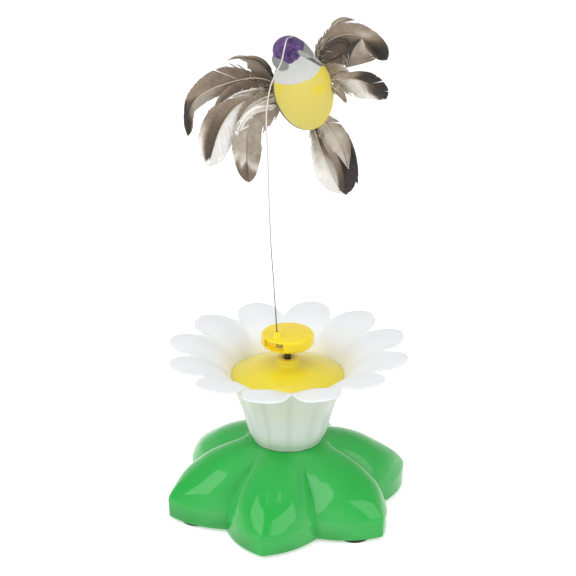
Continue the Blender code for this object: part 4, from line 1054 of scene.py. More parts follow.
def tube_mesh(
    name: str, route: Iterable[Sequence[float]], radii: Sequence[float], sides: int, flat: float = 1.0
) -> bpy.types.Mesh:
    """Sweep a round or flattened section along a route without a twist, with rounded ends.

    Args:
        name: The mesh's name.
        route: The points of its middle line.
        radii: The radius at each of them.
        sides: How many sides the section has.
        flat: The height of the section as a share of its width.

    Returns:
        The mesh.
    """
    places = [Vector(point) for point in route]
    ways = []
    for number, _ in enumerate(places):
        before, after = places[max(0, number - 1)], places[min(len(places) - 1, number + 1)]
        ways.append((after - before).normalized())
    past, narrow = 0.6, 0.5
    rings = [(places[0] - ways[0] * radii[0] * past, ways[0], radii[0] * narrow)]
    rings += list(zip(places, ways, radii))
    rings += [(places[-1] + ways[-1] * radii[-1] * past, ways[-1], radii[-1] * narrow)]
    oblique = Vector((0.31, 0.17, 0.93)).normalized()
    points, side = [], ways[0].cross(oblique).normalized()
    for number, (place, way, radius) in enumerate(rings):
        if number:
            side = (side - way * side.dot(way)).normalized()
        top = side.cross(way)
        for step in range(sides):
            angle = 2 * math.pi * step / sides
            points.append(place + side * radius * math.cos(angle) + top * radius * flat * math.sin(angle))
    faces = grid_faces(len(rings), sides, closed=True)
    faces.append(tuple(reversed(range(sides))))
    faces.append(tuple(range((len(rings) - 1) * sides, len(rings) * sides)))
    mesh = make_mesh(name, points, faces)
    tidy_mesh(mesh)
    return mesh


def settle(obj: bpy.types.Object, *helpers: bpy.types.Object) -> bpy.types.Object:
    """Turn an object's modifiers into plain mesh, and delete the objects that they used.

    Args:
        obj: The object.
        helpers: What its modifiers read.

    Returns:
        The object.
    """
    graph = bpy.context.evaluated_depsgraph_get()
    mesh = bpy.data.meshes.new_from_object(obj.evaluated_get(graph), depsgraph=graph)
    mesh.name = obj.name
    obj.modifiers.clear()
    obj.data = mesh
    for helper in helpers:
        bpy.data.objects.remove(helper, do_unlink=True)
    return obj


def modify(obj: bpy.types.Object, kind: str, **settings: object) -> None:
    """Add a modifier to an object.

    Args:
        obj: The object.
        kind: The modifier's type.
        settings: Its values.
    """
    made = obj.modifiers.new(kind.lower(), kind)
    for name, value in settings.items():
        setattr(made, name, value)


def sharpen(obj: bpy.types.Object, degrees: float) -> None:
    """Shade an object smooth, with edges sharp past an angle in degrees."""
    obj.data.shade_smooth()
    obj.data.set_sharp_from_angle(angle=math.radians(degrees))


def rotor_place(x: float, y: float, z: float) -> Vector:
    """Turn a place of the rotor's frame, in millimetres, into the part's frame, in metres."""
    return Matrix.Rotation(ROTOR_TURN, 3, "Z") @ Vector((x * MM, y * MM, z * MM))


def close_tree(sheet: NodeSheet, instances: object, seam: object = None) -> bpy.types.NodeTree:
    """End a geometry tree: make its instances real, join seams if asked, and give them the material.

    Args:
        sheet: The tree's sheet.
        instances: The instances.
        seam: How close the points are that are joined, where seams are.

    Returns:
        The tree.
    """
    nodes = sheet.tree.nodes
    shape = sheet.add("GeometryNodeRealizeInstances", {"Geometry": instances}).outputs["Geometry"]
    if seam is not None:
        feeds = {"Geometry": shape, "Distance": seam}
        shape = sheet.add("GeometryNodeMergeByDistance", feeds).outputs["Geometry"]
    feeds = {"Geometry": shape, "Material": nodes["start"].outputs["Material"]}
    dressed = sheet.add("GeometryNodeSetMaterial", feeds)
    sheet.feed(nodes["end"].inputs["Geometry"], dressed.outputs["Geometry"])
    return sheet.tree


def ring_tree() -> bpy.types.NodeTree:
    """Build the tree that copies a sector round the Z axis and joins the copies at their seams.

    Returns:
        The tree, with inputs Sector, Count, Seam and Material.
    """
    sheet = new_group(
        "ring_of_copies",
        "GeometryNodeTree",
        (
            Socket("Geometry", SHAPE),
            Socket("Sector", "NodeSocketObject"),
            Socket("Count", "NodeSocketInt", 6),
            Socket("Seam", value=0.00001),
            Socket("Material", "NodeSocketMaterial"),
        ),
        (Socket("Geometry", SHAPE),),
    )
    start = sheet.tree.nodes["start"].outputs
    points = sheet.add("GeometryNodePoints", {"Count": start["Count"]})
    feeds = {"Object": start["Sector"], "As Instance": False}
    sector = sheet.add("GeometryNodeObjectInfo", feeds, transform_space="ORIGINAL")
    number = sheet.add("GeometryNodeInputIndex").outputs["Index"]
    turn = sheet.maths("DIVIDE", sheet.times(number, 2 * math.pi), start["Count"])
    angles = sheet.add("ShaderNodeCombineXYZ", {"Z": turn})
    rotation = sheet.add("FunctionNodeEulerToRotation", {"Euler": angles.outputs["Vector"]})
    feeds = {
        "Points": points.outputs["Points"],
        "Instance": sector.outputs["Geometry"],
        "Rotation": rotation.outputs["Rotation"],
    }
    copies = sheet.add("GeometryNodeInstanceOnPoints", feeds)
    return close_tree(sheet, copies.outputs["Instances"], start["Seam"])


def barb_tree() -> bpy.types.NodeTree:
    """Build the tree that sets a barb on each guide point, on one side of the quill or the other.

    A guide point carries turn, reach, side, tone and tip_tone.

    Returns:
        The tree, with inputs Right Barb, Left Barb, Ruffle, Spread, Seed and Material.
    """
    sheet = new_group(
        "barbs_on_quill",
        "GeometryNodeTree",
        (
            Socket("Geometry", SHAPE),
            Socket("Right Barb", "NodeSocketObject"),
            Socket("Left Barb", "NodeSocketObject"),
            Socket("Ruffle", value=0.05),
            Socket("Spread", value=0.1),
            Socket("Seed", "NodeSocketInt", 1),
            Socket("Material", "NodeSocketMaterial"),
        ),
        (Socket("Geometry", SHAPE),),
    )
    start = sheet.tree.nodes["start"].outputs

    def stored(name: str, kind: str) -> bpy.types.NodeSocket:
        """A guide point's named value."""
        made = sheet.add("GeometryNodeInputNamedAttribute", {"Name": name}, data_type=kind)
        return made.outputs["Attribute"]

    def chance(low: object, high: object, offset: int) -> bpy.types.NodeSocket:
        """A seeded random value for each guide point."""
        made = sheet.add("FunctionNodeRandomValue", data_type="FLOAT")
        live = [socket for socket in made.inputs if socket.enabled]
        sheet.feed(live[0], low)
        sheet.feed(live[1], high)
        sheet.feed(made.inputs["Seed"], sheet.plus(start["Seed"], offset))
        return next(socket for socket in made.outputs if socket.enabled)

    swing = sheet.times(start["Spread"], -1.0)
    axes = (("X", 1), ("Y", 2), ("Z", 3))
    jitters = {name: chance(swing, start["Spread"], offset) for name, offset in axes}
    jitter = sheet.add("ShaderNodeCombineXYZ", jitters)
    base_turn = sheet.add("FunctionNodeEulerToRotation", {"Euler": stored("turn", "FLOAT_VECTOR")})
    own_turn = sheet.add("FunctionNodeEulerToRotation", {"Euler": jitter.outputs["Vector"]})
    feeds = {"Rotation": base_turn.outputs["Rotation"], "Rotate By": own_turn.outputs["Rotation"]}
    rotation = sheet.add("FunctionNodeRotateRotation", feeds, rotation_space="LOCAL")
    grown = chance(sheet.less(1.0, start["Ruffle"]), 1.0, 4)
    growth = sheet.add("ShaderNodeCombineXYZ", {"X": grown, "Y": 1.0, "Z": 1.0})
    feeds = {0: stored("reach", "FLOAT_VECTOR"), 1: growth.outputs["Vector"]}
    size = sheet.add("ShaderNodeVectorMath", feeds, operation="MULTIPLY")
    both = sheet.add("GeometryNodeJoinGeometry")
    for name, way in (("Right Barb", "GREATER_THAN"), ("Left Barb", "LESS_THAN")):
        barb = sheet.add("GeometryNodeObjectInfo", {"Object": start[name]}, transform_space="ORIGINAL")
        feeds = {0: stored("side", "FLOAT")}
        chosen = sheet.add("FunctionNodeCompare", feeds, data_type="FLOAT", operation=way)
        feeds = {
            "Points": start["Geometry"],
            "Selection": chosen.outputs["Result"],
            "Instance": barb.outputs["Geometry"],
            "Rotation": rotation.outputs["Rotation"],
            "Scale": size.outputs["Vector"],
        }
        copies = sheet.add("GeometryNodeInstanceOnPoints", feeds)
        sheet.feed(both.inputs["Geometry"], copies.outputs["Instances"])
    return close_tree(sheet, both.outputs["Geometry"])


def grow(obj: bpy.types.Object, tree: bpy.types.NodeTree, **values: object) -> None:
    """Give an object a geometry tree and set the tree's inputs.

    Args:
        obj: The object.
        tree: The tree.
        values: The inputs by name, with each space written as an underscore.
    """
    made = obj.modifiers.new(tree.name, "NODES")
    made.node_group = tree
    for item in tree.interface.items_tree:
        key = item.name.replace(" ", "_")
        if item.in_out == "INPUT" and key in values:
            made[item.identifier] = values[key]


@dataclass
class Workshop:
    """What every sub-assembly shares: the frame, the finishes and the geometry trees.

    Args:
        palette: The finishes.
    """

    frame: dict
    palette: Palette
    ring: bpy.types.NodeTree = field(default_factory=ring_tree)
    barbs: bpy.types.NodeTree = field(default_factory=barb_tree)

    def ring_of(
        self, name: str, sector: bpy.types.Mesh, count: int, material: bpy.types.Material
    ) -> bpy.types.Object:
        """Copy a sector round the axis, through the tree, and make the result plain mesh.

        Args:
            name: The piece's name.
            sector: One sector.
            count: How many sectors there are.
            material: The finish.

        Returns:
            The piece.
        """
        helper = add_object(name + "_sector", sector)
        obj = add_object(name, bpy.data.meshes.new(name))
        grow(obj, self.ring, Sector=helper, Count=count, Seam=SEAM, Material=material)
        return settle(obj, helper)

    def fit(self, obj: bpy.types.Object, body: Body, nodes: Sequence[str]) -> None:
        """Hand a finished piece to the frame.

        Args:
            obj: The piece.
            body: The body that it rides on.
            nodes: The solids that it stands for.
        """
        if nodes:
            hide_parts(*nodes)
        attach(obj, body.value)
        LOG.info("%s rides on %s and stands for %s", obj.name, body.value, ", ".join(nodes) or "no solid")

    def bend(self, obj: bpy.types.Object, reach: Sequence[Vector], nodes: Sequence[str], slot: str) -> None:
        """Hand over a springy piece that runs between the rotor and the lure: hide the solids that it stands
        for and bake its place into its mesh.

        Args:
            obj: The piece.
            reach: Where the bend starts and ends. Not used.
            nodes: The solids that it stands for.
            slot: The record's material slot. Not used.
        """
        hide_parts(*nodes)
        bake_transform(obj)
        LOG.info("%s bends from the rotor to the lure and stands for %s", obj.name, ", ".join(nodes))

    def dress(self, node: str, material: bpy.types.Material) -> None:
        """Give a solid that stays in view its finish.

        Args:
            node: The solid's name.
            material: The finish.
        """
        obj = self.frame["nodes"][node]
        for place in obj.material_slots:
            place.material = material
        if not obj.material_slots:
            obj.data.materials.append(material)
        LOG.info("%s is finished in %s", node, material.name)


@dataclass
class StarBase:
    """The green base shell: six pointed lobes that run up into one crown.

    Sizes are in millimetres. A level holds how far out and up the tip and the notch of a lobe are, as shares
    of the way from the seat, and how full the lobe's side is.
    """

    lobes: int = 6
    tip_r: float = 65.0
    notch_r: float = 47.5
    rim_z: float = 2.0
    top_z: float = 37.2
    seat_r: float = 20.5
    hole_r: float = 16.9
    wall: float = 2.2
    steps: int = 26
    between: int = 5
    post_r: float = 2.6
    post_hole_r: float = 1.3
    post_place_r: float = 46.0
    post_low_z: float = 4.2
    post_top_z: float = 24.0
    post_sides: int = 16
    post_start: float = -90.0
    skirt_shares: Row = (0.0, 0.03, 0.5, 0.9)
    break_share: float = 0.96
    soft_share: float = 0.94
    smoothings: int = 14
    sharp: float = 50.0
    levels: tuple[tuple[float, ...], ...] = (
        (0.990, 0.0, 1.0, 0.0, 0.42),
        (1.0, 0.268, 0.990, 0.250, 0.42),
        (0.977, 0.341, 0.955, 0.325, 0.41),
        (0.900, 0.462, 0.870, 0.430, 0.54),
        (0.787, 0.580, 0.745, 0.545, 0.76),
        (0.622, 0.722, 0.590, 0.668, 0.93),
        (0.479, 0.830, 0.426, 0.775, 1.0),
        (0.297, 0.928, 0.252, 0.872, 1.0),
        (0.112, 0.985, 0.074, 0.955, 1.0),
        (0.0, 1.0, 0.0, 1.0, 1.0),
    )

    def rows(self) -> np.ndarray:
        """The levels from rim to seat: a straight skirt, a small round at its break, and a smooth crown.

        Returns:
            One row of five numbers for each ring.
        """
        skirt = np.asarray(self.levels[:2])
        straight = [skirt[0] + (skirt[1] - skirt[0]) * share for share in self.skirt_shares]
        crown = smooth_rows(self.levels[1:], self.between)
        ahead = skirt[0] * (1 - self.soft_share) + skirt[1] * self.soft_share
        soft = crown[0] * 0.5 + ahead * 0.25 + crown[1] * 0.25
        last = skirt[0] * (1 - self.break_share) + skirt[1] * self.break_share
        return np.vstack([straight, [last], [soft], crown[1:]])

    def ring(self, row: Sequence[float]) -> np.ndarray:
        """One lobe's outline at a level, from notch to notch past the tip, with the tip a little rounded.

        Args:
            row: The level.

        Returns:
            The places in millimetres.
        """
        tip_out, tip_up, notch_out, notch_up, fullness = row
        tip_r = self.seat_r + tip_out * (self.tip_r - self.seat_r)
        notch_r = self.seat_r + notch_out * (self.notch_r - self.seat_r)
        height = self.top_z - self.rim_z
        tip_z, notch_z = self.rim_z + tip_up * height, self.rim_z + notch_up * height
        half = math.pi / self.lobes
        notch = np.array([notch_r * math.cos(half), notch_r * math.sin(half)])
        chord = np.array([tip_r, 0.0]) - notch
        length = float(np.linalg.norm(chord))
        side = np.array([-chord[1], chord[0]]) / length
        to_round = math.tan(math.pi / 2 - math.atan2(notch[1], tip_r - notch[0])) / 4
        places = []
        for step in range(-self.steps, self.steps + 1):
            t = math.cos(math.pi / 2 * step / self.steps)
            bulge = 4 * t * (1 - t) * fullness * to_round * length
            flat = notch + chord * t + side * abs(bulge)
            y = flat[1] if step > 0 else -flat[1]
            places.append((flat[0], y, notch_z + (tip_z - notch_z) * t * (2 - t)))
        found = np.array(places)
        for _ in range(self.smoothings):
            found[1:-1] = found[:-2] * 0.25 + found[1:-1] * 0.5 + found[2:] * 0.25
        return found

    def sector(self) -> bpy.types.Mesh:
        """One lobe, pointing along +X, with its marks across and rise.

        Returns:
            The mesh.
        """
        points, across, rise = [], [], []
        rows = self.rows()
        for row in rows:
            for step, place in zip(range(-self.steps, self.steps + 1), self.ring(row)):
                points.append(place * MM)
                across.append(abs(step) / self.steps)
                rise.append((place[2] - self.rim_z) / (self.top_z - self.rim_z))
        half = math.pi / self.lobes
        for step in range(-self.steps, self.steps + 1):
            points.append(polar(self.hole_r, half * step / self.steps, self.top_z))
            across.append(abs(step) / self.steps)
            rise.append(1.0)
        columns = 2 * self.steps + 1
        mesh = make_mesh("lobe", points, grid_faces(len(rows) + 1, columns))
        write_marks(mesh, across=across, rise=rise)
        return mesh

    def build(self, shop: Workshop) -> None:
        """Copy the lobe round, give the shell its wall and its posts, and fit it.

        Args:
            shop: The workshop.
        """
        lobe = self.sector()
        lobe.transform(Matrix.Rotation(-math.pi / 2, 4, "Z"))
        shell = shop.ring_of("base_shell_moulding", lobe, self.lobes, shop.palette.green)
        modify(shell, "SOLIDIFY", thickness=self.wall * MM, offset=-1)
        settle(shell)
        low, top = self.post_low_z, self.post_top_z
        profile = [(self.post_hole_r, low), (self.post_r, low), (self.post_r, top), (self.post_hole_r, top)]
        places = [round_about(self.post_place_r, math.radians(self.post_start + 120 * n)) for n in range(3)]
        pour(shell.data, *(turned_mesh("post", profile, self.post_sides, place) for place in places))
        sharpen(shell, self.sharp)
        shop.fit(shell, Body.BASE, ["base_shell"])


@dataclass
class RubberFeet:
    """The rubber feet: a wide pad on the ground, on a stem in the base plate's seat. Sizes in millimetres."""

    nodes: tuple[str, ...] = ("foot_1", "foot_2", "foot_3")
    leans: tuple[tuple[float, float], ...] = ((-2.2, -5.9), (0.0, 2.0), (1.7, -4.9))
    pad_r: float = 7.8
    pad_t: float = 1.85
    edge: float = 0.5
    dimple: float = 0.5
    dimple_w: tuple[float, float] = (1.6, 2.2)
    pad_sides: int = 48
    stem_sides: int = 32
    sharp: float = 40.0

    def build(self, shop: Workshop) -> None:
        """Turn each foot and fit it.

        Args:
            shop: The workshop.
        """
        for node, lean in zip(self.nodes, self.leans):
            low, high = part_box(node)
            middle = [(a + b) / 2 for a, b in zip(low, high)]
            stem_r = (high[0] - low[0]) / 2 / MM
            top = high[2] / MM
            edge_r, bevel, inset = self.pad_r - self.edge, self.edge, self.dimple_w
            pad = [(0.0, self.pad_t)] + arc_profile((edge_r, self.pad_t - bevel), bevel, 90, 0, 5)
            pad += arc_profile((edge_r, bevel), bevel, 0, -90, 5)
            pad += [(self.pad_r - inset[0], 0.0), (self.pad_r - inset[1], self.dimple), (0.0, self.dimple)]
            stem = rod_profile(stem_r, self.pad_t / 2, top)
            at = (middle[0] + lean[0] * MM, middle[1] + lean[1] * MM)
            mesh = turned_mesh(node + "_rubber", pad, self.pad_sides, at)
            pour(mesh, turned_mesh("stem", stem, self.stem_sides, middle[:2]))
            obj = add_object(node + "_rubber", mesh, shop.palette.rubber)
            sharpen(obj, self.sharp)
            shop.fit(obj, Body.BASE, [node])


@dataclass
class FlowerCup:
    """The white cup and its twelve petals: a fluted wall that opens into rounded petals.

    Sizes are in millimetres. A share row holds how far out and up the ridge and the groove of a flute are.
    """

    petals: int = 12
    floor_z: float = 39.1
    top_z: float = 86.2
    floor_t: float = 1.6
    wall: float = 1.7
    edge_wall_share: float = 0.62
    collar_r: float = 15.6
    collar_t: float = 1.0
    collar_drop: float = 4.0
    reach_r: float = 61.8
    tip_r: float = 62.4
    half_w: float = 11.4
    round_l: float = 11.2
    notch_r: float = 47.2
    half_steps: int = 12
    between: int = 5
    edge_rings: int = 3
    shares: tuple[tuple[float, float, float, float], ...] = (
        (0.008, 0.0, 0.008, 0.0),
        (0.032, 0.021, 0.028, 0.021),
        (0.076, 0.100, 0.066, 0.100),
        (0.145, 0.338, 0.124, 0.338),
        (0.266, 0.667, 0.252, 0.667),
        (0.362, 0.822, 0.355, 0.796),
        (0.485, 0.913, 0.485, 0.881),
        (0.630, 0.975, 0.570, 0.924),
        (0.815, 1.010, 0.632, 0.955),
        (1.013, 1.018, 0.684, 0.980),
    )
    turn: float = math.radians(-91.1)
    lift: float = 1.5
    lift_way: float = math.radians(14)
    lift_from: float = 32.0
    lip_turns: Row = (0.5, 1.1, 1.57, 2.1, 2.7)
    foot_step: float = 0.5
    sharp: float = 60.0

    def edge_radius(self, angle: float) -> float:
        """The radius of the flower's edge at an angle from a petal's ridge.

        Args:
            angle: The angle.

        Returns:
            The radius in millimetres.
        """
        half = math.pi / self.petals
        centre = self.tip_r - self.round_l
        side_angle = math.atan2(self.half_w, centre)
        if angle >= side_angle:
            side_r = math.hypot(centre, self.half_w)
            return side_r + (self.notch_r - side_r) * (angle - side_angle) / (half - side_angle)
        a = (math.cos(angle) / self.round_l) ** 2 + (math.sin(angle) / self.half_w) ** 2
        b = -2 * centre * math.cos(angle) / self.round_l**2
        c = (centre / self.round_l) ** 2 - 1
        return (-b + math.sqrt(b * b - 4 * a * c)) / (2 * a)

    def top_line(self, share: float) -> np.ndarray:
        """The upper line of the cup in one plane.

        Args:
            share: The share of the way from a petal's ridge to the groove.

        Returns:
            Radii and heights in millimetres, from the floor to the petal's edge.
        """
        blend = 0.45 * share**2 + 0.275 * (1 - math.cos(math.pi * share))
        rows = smooth_rows(self.shares, self.between)
        edge_r = self.edge_radius(share * math.pi / self.petals)
        reach, rise = self.reach_r - self.collar_r, self.top_z - self.floor_z
        plain_r = self.collar_r + (rows[-1][0] + (rows[-1][2] - rows[-1][0]) * blend) * reach
        found = []
        for number, (ridge_out, ridge_up, groove_out, groove_up) in enumerate(rows):
            radius = self.collar_r + (ridge_out + (groove_out - ridge_out) * blend) * reach
            step = number / self.between - (len(self.shares) - self.edge_rings)
            if step > 0:
                radius += (edge_r - plain_r) * (step / (self.edge_rings - 1)) ** 2
            found.append((radius, self.floor_z + (ridge_up + (groove_up - ridge_up) * blend) * rise))
        return np.array(found)

    def section(self, share: float) -> tuple[np.ndarray, list[float], list[float]]:
        """The closed section of the cup in one plane: up the inside to the edge, and back underneath.

        Args:
            share: The share of the way from a petal's ridge to the groove.

        Returns:
            The section in millimetres, the rise mark of each point, and its outside mark.
        """
        top = self.top_line(share)
        count = len(top)
        ways = np.gradient(top, axis=0)
        ways /= np.linalg.norm(ways, axis=1)[:, None]
        out = np.column_stack([ways[:, 1], -ways[:, 0]])
        walls = self.wall * (1 + (self.edge_wall_share - 1) * np.arange(count) / (count - 1))
        under = top + out * walls[:, None]
        half = walls[-1] / 2
        middle = top[-1] + out[-1] * half - ways[-1] * half
        ahead, down = ways[-1] * half, out[-1] * half
        lip = [middle + ahead * math.sin(a) - down * math.cos(a) for a in self.lip_turns]
        foot_z = self.floor_z - self.floor_t
        drop_z = foot_z - self.collar_drop
        floor_r = self.collar_r + self.collar_t
        lower = [(self.collar_r, drop_z), (self.collar_r, self.floor_z)]
        skip = self.between
        back = [(under[skip][0] - self.foot_step, foot_z), (floor_r, foot_z), (floor_r, drop_z)]
        body = np.vstack([lower, top[:-1], lip, under[-2 : skip - 1 : -1], back])
        rise = np.clip((body[:, 1] - self.floor_z) / (self.top_z - self.floor_z), 0, 1)
        inner, edge = len(lower) + count - 1, len(lip)
        outside = [0.0] * inner + [0.5] * edge + [1.0] * (len(body) - inner - edge)
        return body, list(rise), outside

    def sector(self) -> bpy.types.Mesh:
        """One petal with its part of the cup, with its marks across, rise and outside.

        Returns:
            The mesh.
        """
        half = math.pi / self.petals
        points, across, rises, outsides = [], [], [], []
        columns = range(-self.half_steps, self.half_steps + 1)
        for column in columns:
            share = math.sin(math.pi / 2 * column / self.half_steps)
            body, rise, outside = self.section(abs(share))
            angle = share * half
            points += [polar(radius, angle, height) for radius, height in body]
            across += [abs(share)] * len(body)
            rises += rise
            outsides += outside
        mesh = make_mesh("petal", points, grid_faces(len(columns), len(body), closed=True))
        write_marks(mesh, across=across, rise=rises, outside=outsides)
        return mesh

    def raise_side(self, mesh: bpy.types.Mesh) -> None:
        """Raise the soft petals a little on one side of the flower.

        Args:
            mesh: The cup's mesh, in metres.
        """
        way = Vector((math.cos(self.lift_way), math.sin(self.lift_way)))
        for vert in mesh.vertices:
            flat = vert.co.xy / MM
            reach = min(1.0, max(0.0, (flat.length - self.lift_from) / (self.tip_r - self.lift_from)))
            vert.co.z += self.lift * MM * reach * max(0.0, flat.dot(way) / self.tip_r)

    def build(self, shop: Workshop) -> None:
        """Copy the petal round and fit the cup.

        Args:
            shop: The workshop.
        """
        petal = self.sector()
        petal.transform(Matrix.Rotation(self.turn, 4, "Z"))
        cup = shop.ring_of("flower_cup_moulding", petal, self.petals, shop.palette.petal)
        tidy_mesh(cup.data)
        self.raise_side(cup.data)
        sharpen(cup, self.sharp)
        shop.fit(cup, Body.BASE, ["flower_cup"])


@dataclass
class FlowerCentre:
    """The yellow dome in the flower, with its collar and the three posts that hold it, in millimetres."""

    rim_r: float = 29.0
    rim_z: float = 73.0
    crown_z: float = 79.5
    collar_r: float = 5.7
    collar_top_z: float = 82.8
    bore_r: float = 3.3
    wall: float = 1.6
    lip: float = 2.0
    post_r: float = 2.6
    post_low_z: float = 60.4
    post_place_r: float = 18.9
    post_start: float = math.radians(150)
    post_sides: int = 20
    steps: int = 96
    dome_points: int = 24
    round_r: float = 0.4
    fillet_r: float = 0.5
    fillet_rise: float = 0.45
    rim_drop: float = 0.35
    rim_inset: float = 0.5
    sharp: float = 40.0

    def height(self, radius: float) -> float:
        """The height of the dome at a radius, both in millimetres."""
        out = max(0.0, (radius - self.collar_r) / (self.rim_r - self.collar_r))
        return self.crown_z - (self.crown_z - self.rim_z) * out**2

    def build(self, shop: Workshop) -> None:
        """Turn the dome, and fit it.

        Args:
            shop: The workshop.
        """
        soft, fillet = self.round_r, self.fillet_r
        radii = np.linspace(self.collar_r + fillet, self.rim_r - self.rim_drop, self.dome_points)
        top = self.collar_top_z
        outer = [(self.bore_r, top)]
        outer += arc_profile((self.collar_r - soft, top - soft), soft, 90, 0, 5)
        outer += arc_profile((self.collar_r + fillet, self.crown_z + self.fillet_rise), fillet, 180, 270, 5)
        outer += [(r, self.height(r)) for r in radii[1:]]
        rim = self.height(self.rim_r)
        outer += arc_profile((self.rim_r - soft, rim - self.rim_drop), soft, 60, 0, 4)
        low, lip_r = rim - self.lip, self.rim_r - self.rim_inset
        outer += [(lip_r, low), (lip_r - self.wall, low)]
        inner = [(r, self.height(r) - self.wall) for r in radii[:-3][::-1]]
        outer += inner + [(self.bore_r, self.crown_z - self.wall)]
        mesh = turned_mesh("flower_centre_dome", outer, self.steps)
        high = self.height(self.post_place_r) - self.wall / 2
        post = rod_profile(self.post_r, self.post_low_z, high)
        places = [round_about(self.post_place_r, self.post_start + n * math.tau / 3) for n in range(3)]
        pour(mesh, *(turned_mesh("dome_post", post, self.post_sides, place) for place in places))
        dome = add_object("flower_centre_dome", mesh, shop.palette.centre)
        sharpen(dome, self.sharp)
        shop.fit(dome, Body.BASE, ["flower_centre"])


@dataclass
class OutputShaft:
    """The steel shaft: a plain journal, a splined length in view and a chamfered end, in millimetres."""

    radius: float = 1.75
    journal_r: float = 1.0
    low_z: float = 58.6
    journal_z: float = 63.5
    spline_low_z: float = 82.4
    spline_top_z: float = 90.9
    top_z: float = 94.4
    teeth: int = 14
    depth: float = 0.28
    chamfer: float = 0.2
    run_out: float = 0.4
    foot_share: float = 0.32
    crest_share: float = 0.2
    sharp: float = 30.0

    def outline(self, root: float, crest: float) -> Profile:
        """One tooth's outline in the plane, as angle shares and radii."""
        shares = ((0.5, root), (self.foot_share, root), (self.crest_share, crest))
        return [(-share, radius) for share, radius in shares] + list(reversed(shares))

    def build(self, shop: Workshop) -> None:
        """Copy one tooth's strip of the shaft round, close its ends and fit it.

        Args:
            shop: The workshop.
        """
        root, crest = self.radius - self.depth, self.radius
        levels = [
            (self.low_z, self.journal_r, self.journal_r),
            (self.journal_z, self.journal_r, self.journal_r),
            (self.journal_z, root, root),
            (self.spline_low_z - self.run_out, root, root),
            (self.spline_low_z, root, crest),
            (self.spline_top_z, root, crest),
            (self.spline_top_z + self.run_out, root, root),
            (self.top_z - self.chamfer, root, root),
            (self.top_z, root - self.chamfer, root - self.chamfer),
        ]
        points, spline_root_shade = [], []
        for height, low_r, high_r in levels:
            for share, radius in self.outline(low_r, high_r):
                points.append(polar(radius, 2 * math.pi * share / self.teeth, height))
                # Painted shade: the spline roots are marked to take the shaft's darker steel colour.
                spline_root_shade.append(float(abs(share) > 0.25 and low_r < high_r))
        mesh = make_mesh("tooth", points, grid_faces(len(levels), 6))
        write_marks(mesh, root=spline_root_shade)
        shaft = shop.ring_of("output_shaft_splined", mesh, self.teeth, shop.palette.shaft)
        face_outwards(shaft.data, close=True)
        sharpen(shaft, self.sharp)
        shop.fit(shaft, Body.ROTOR, ["output_shaft"])


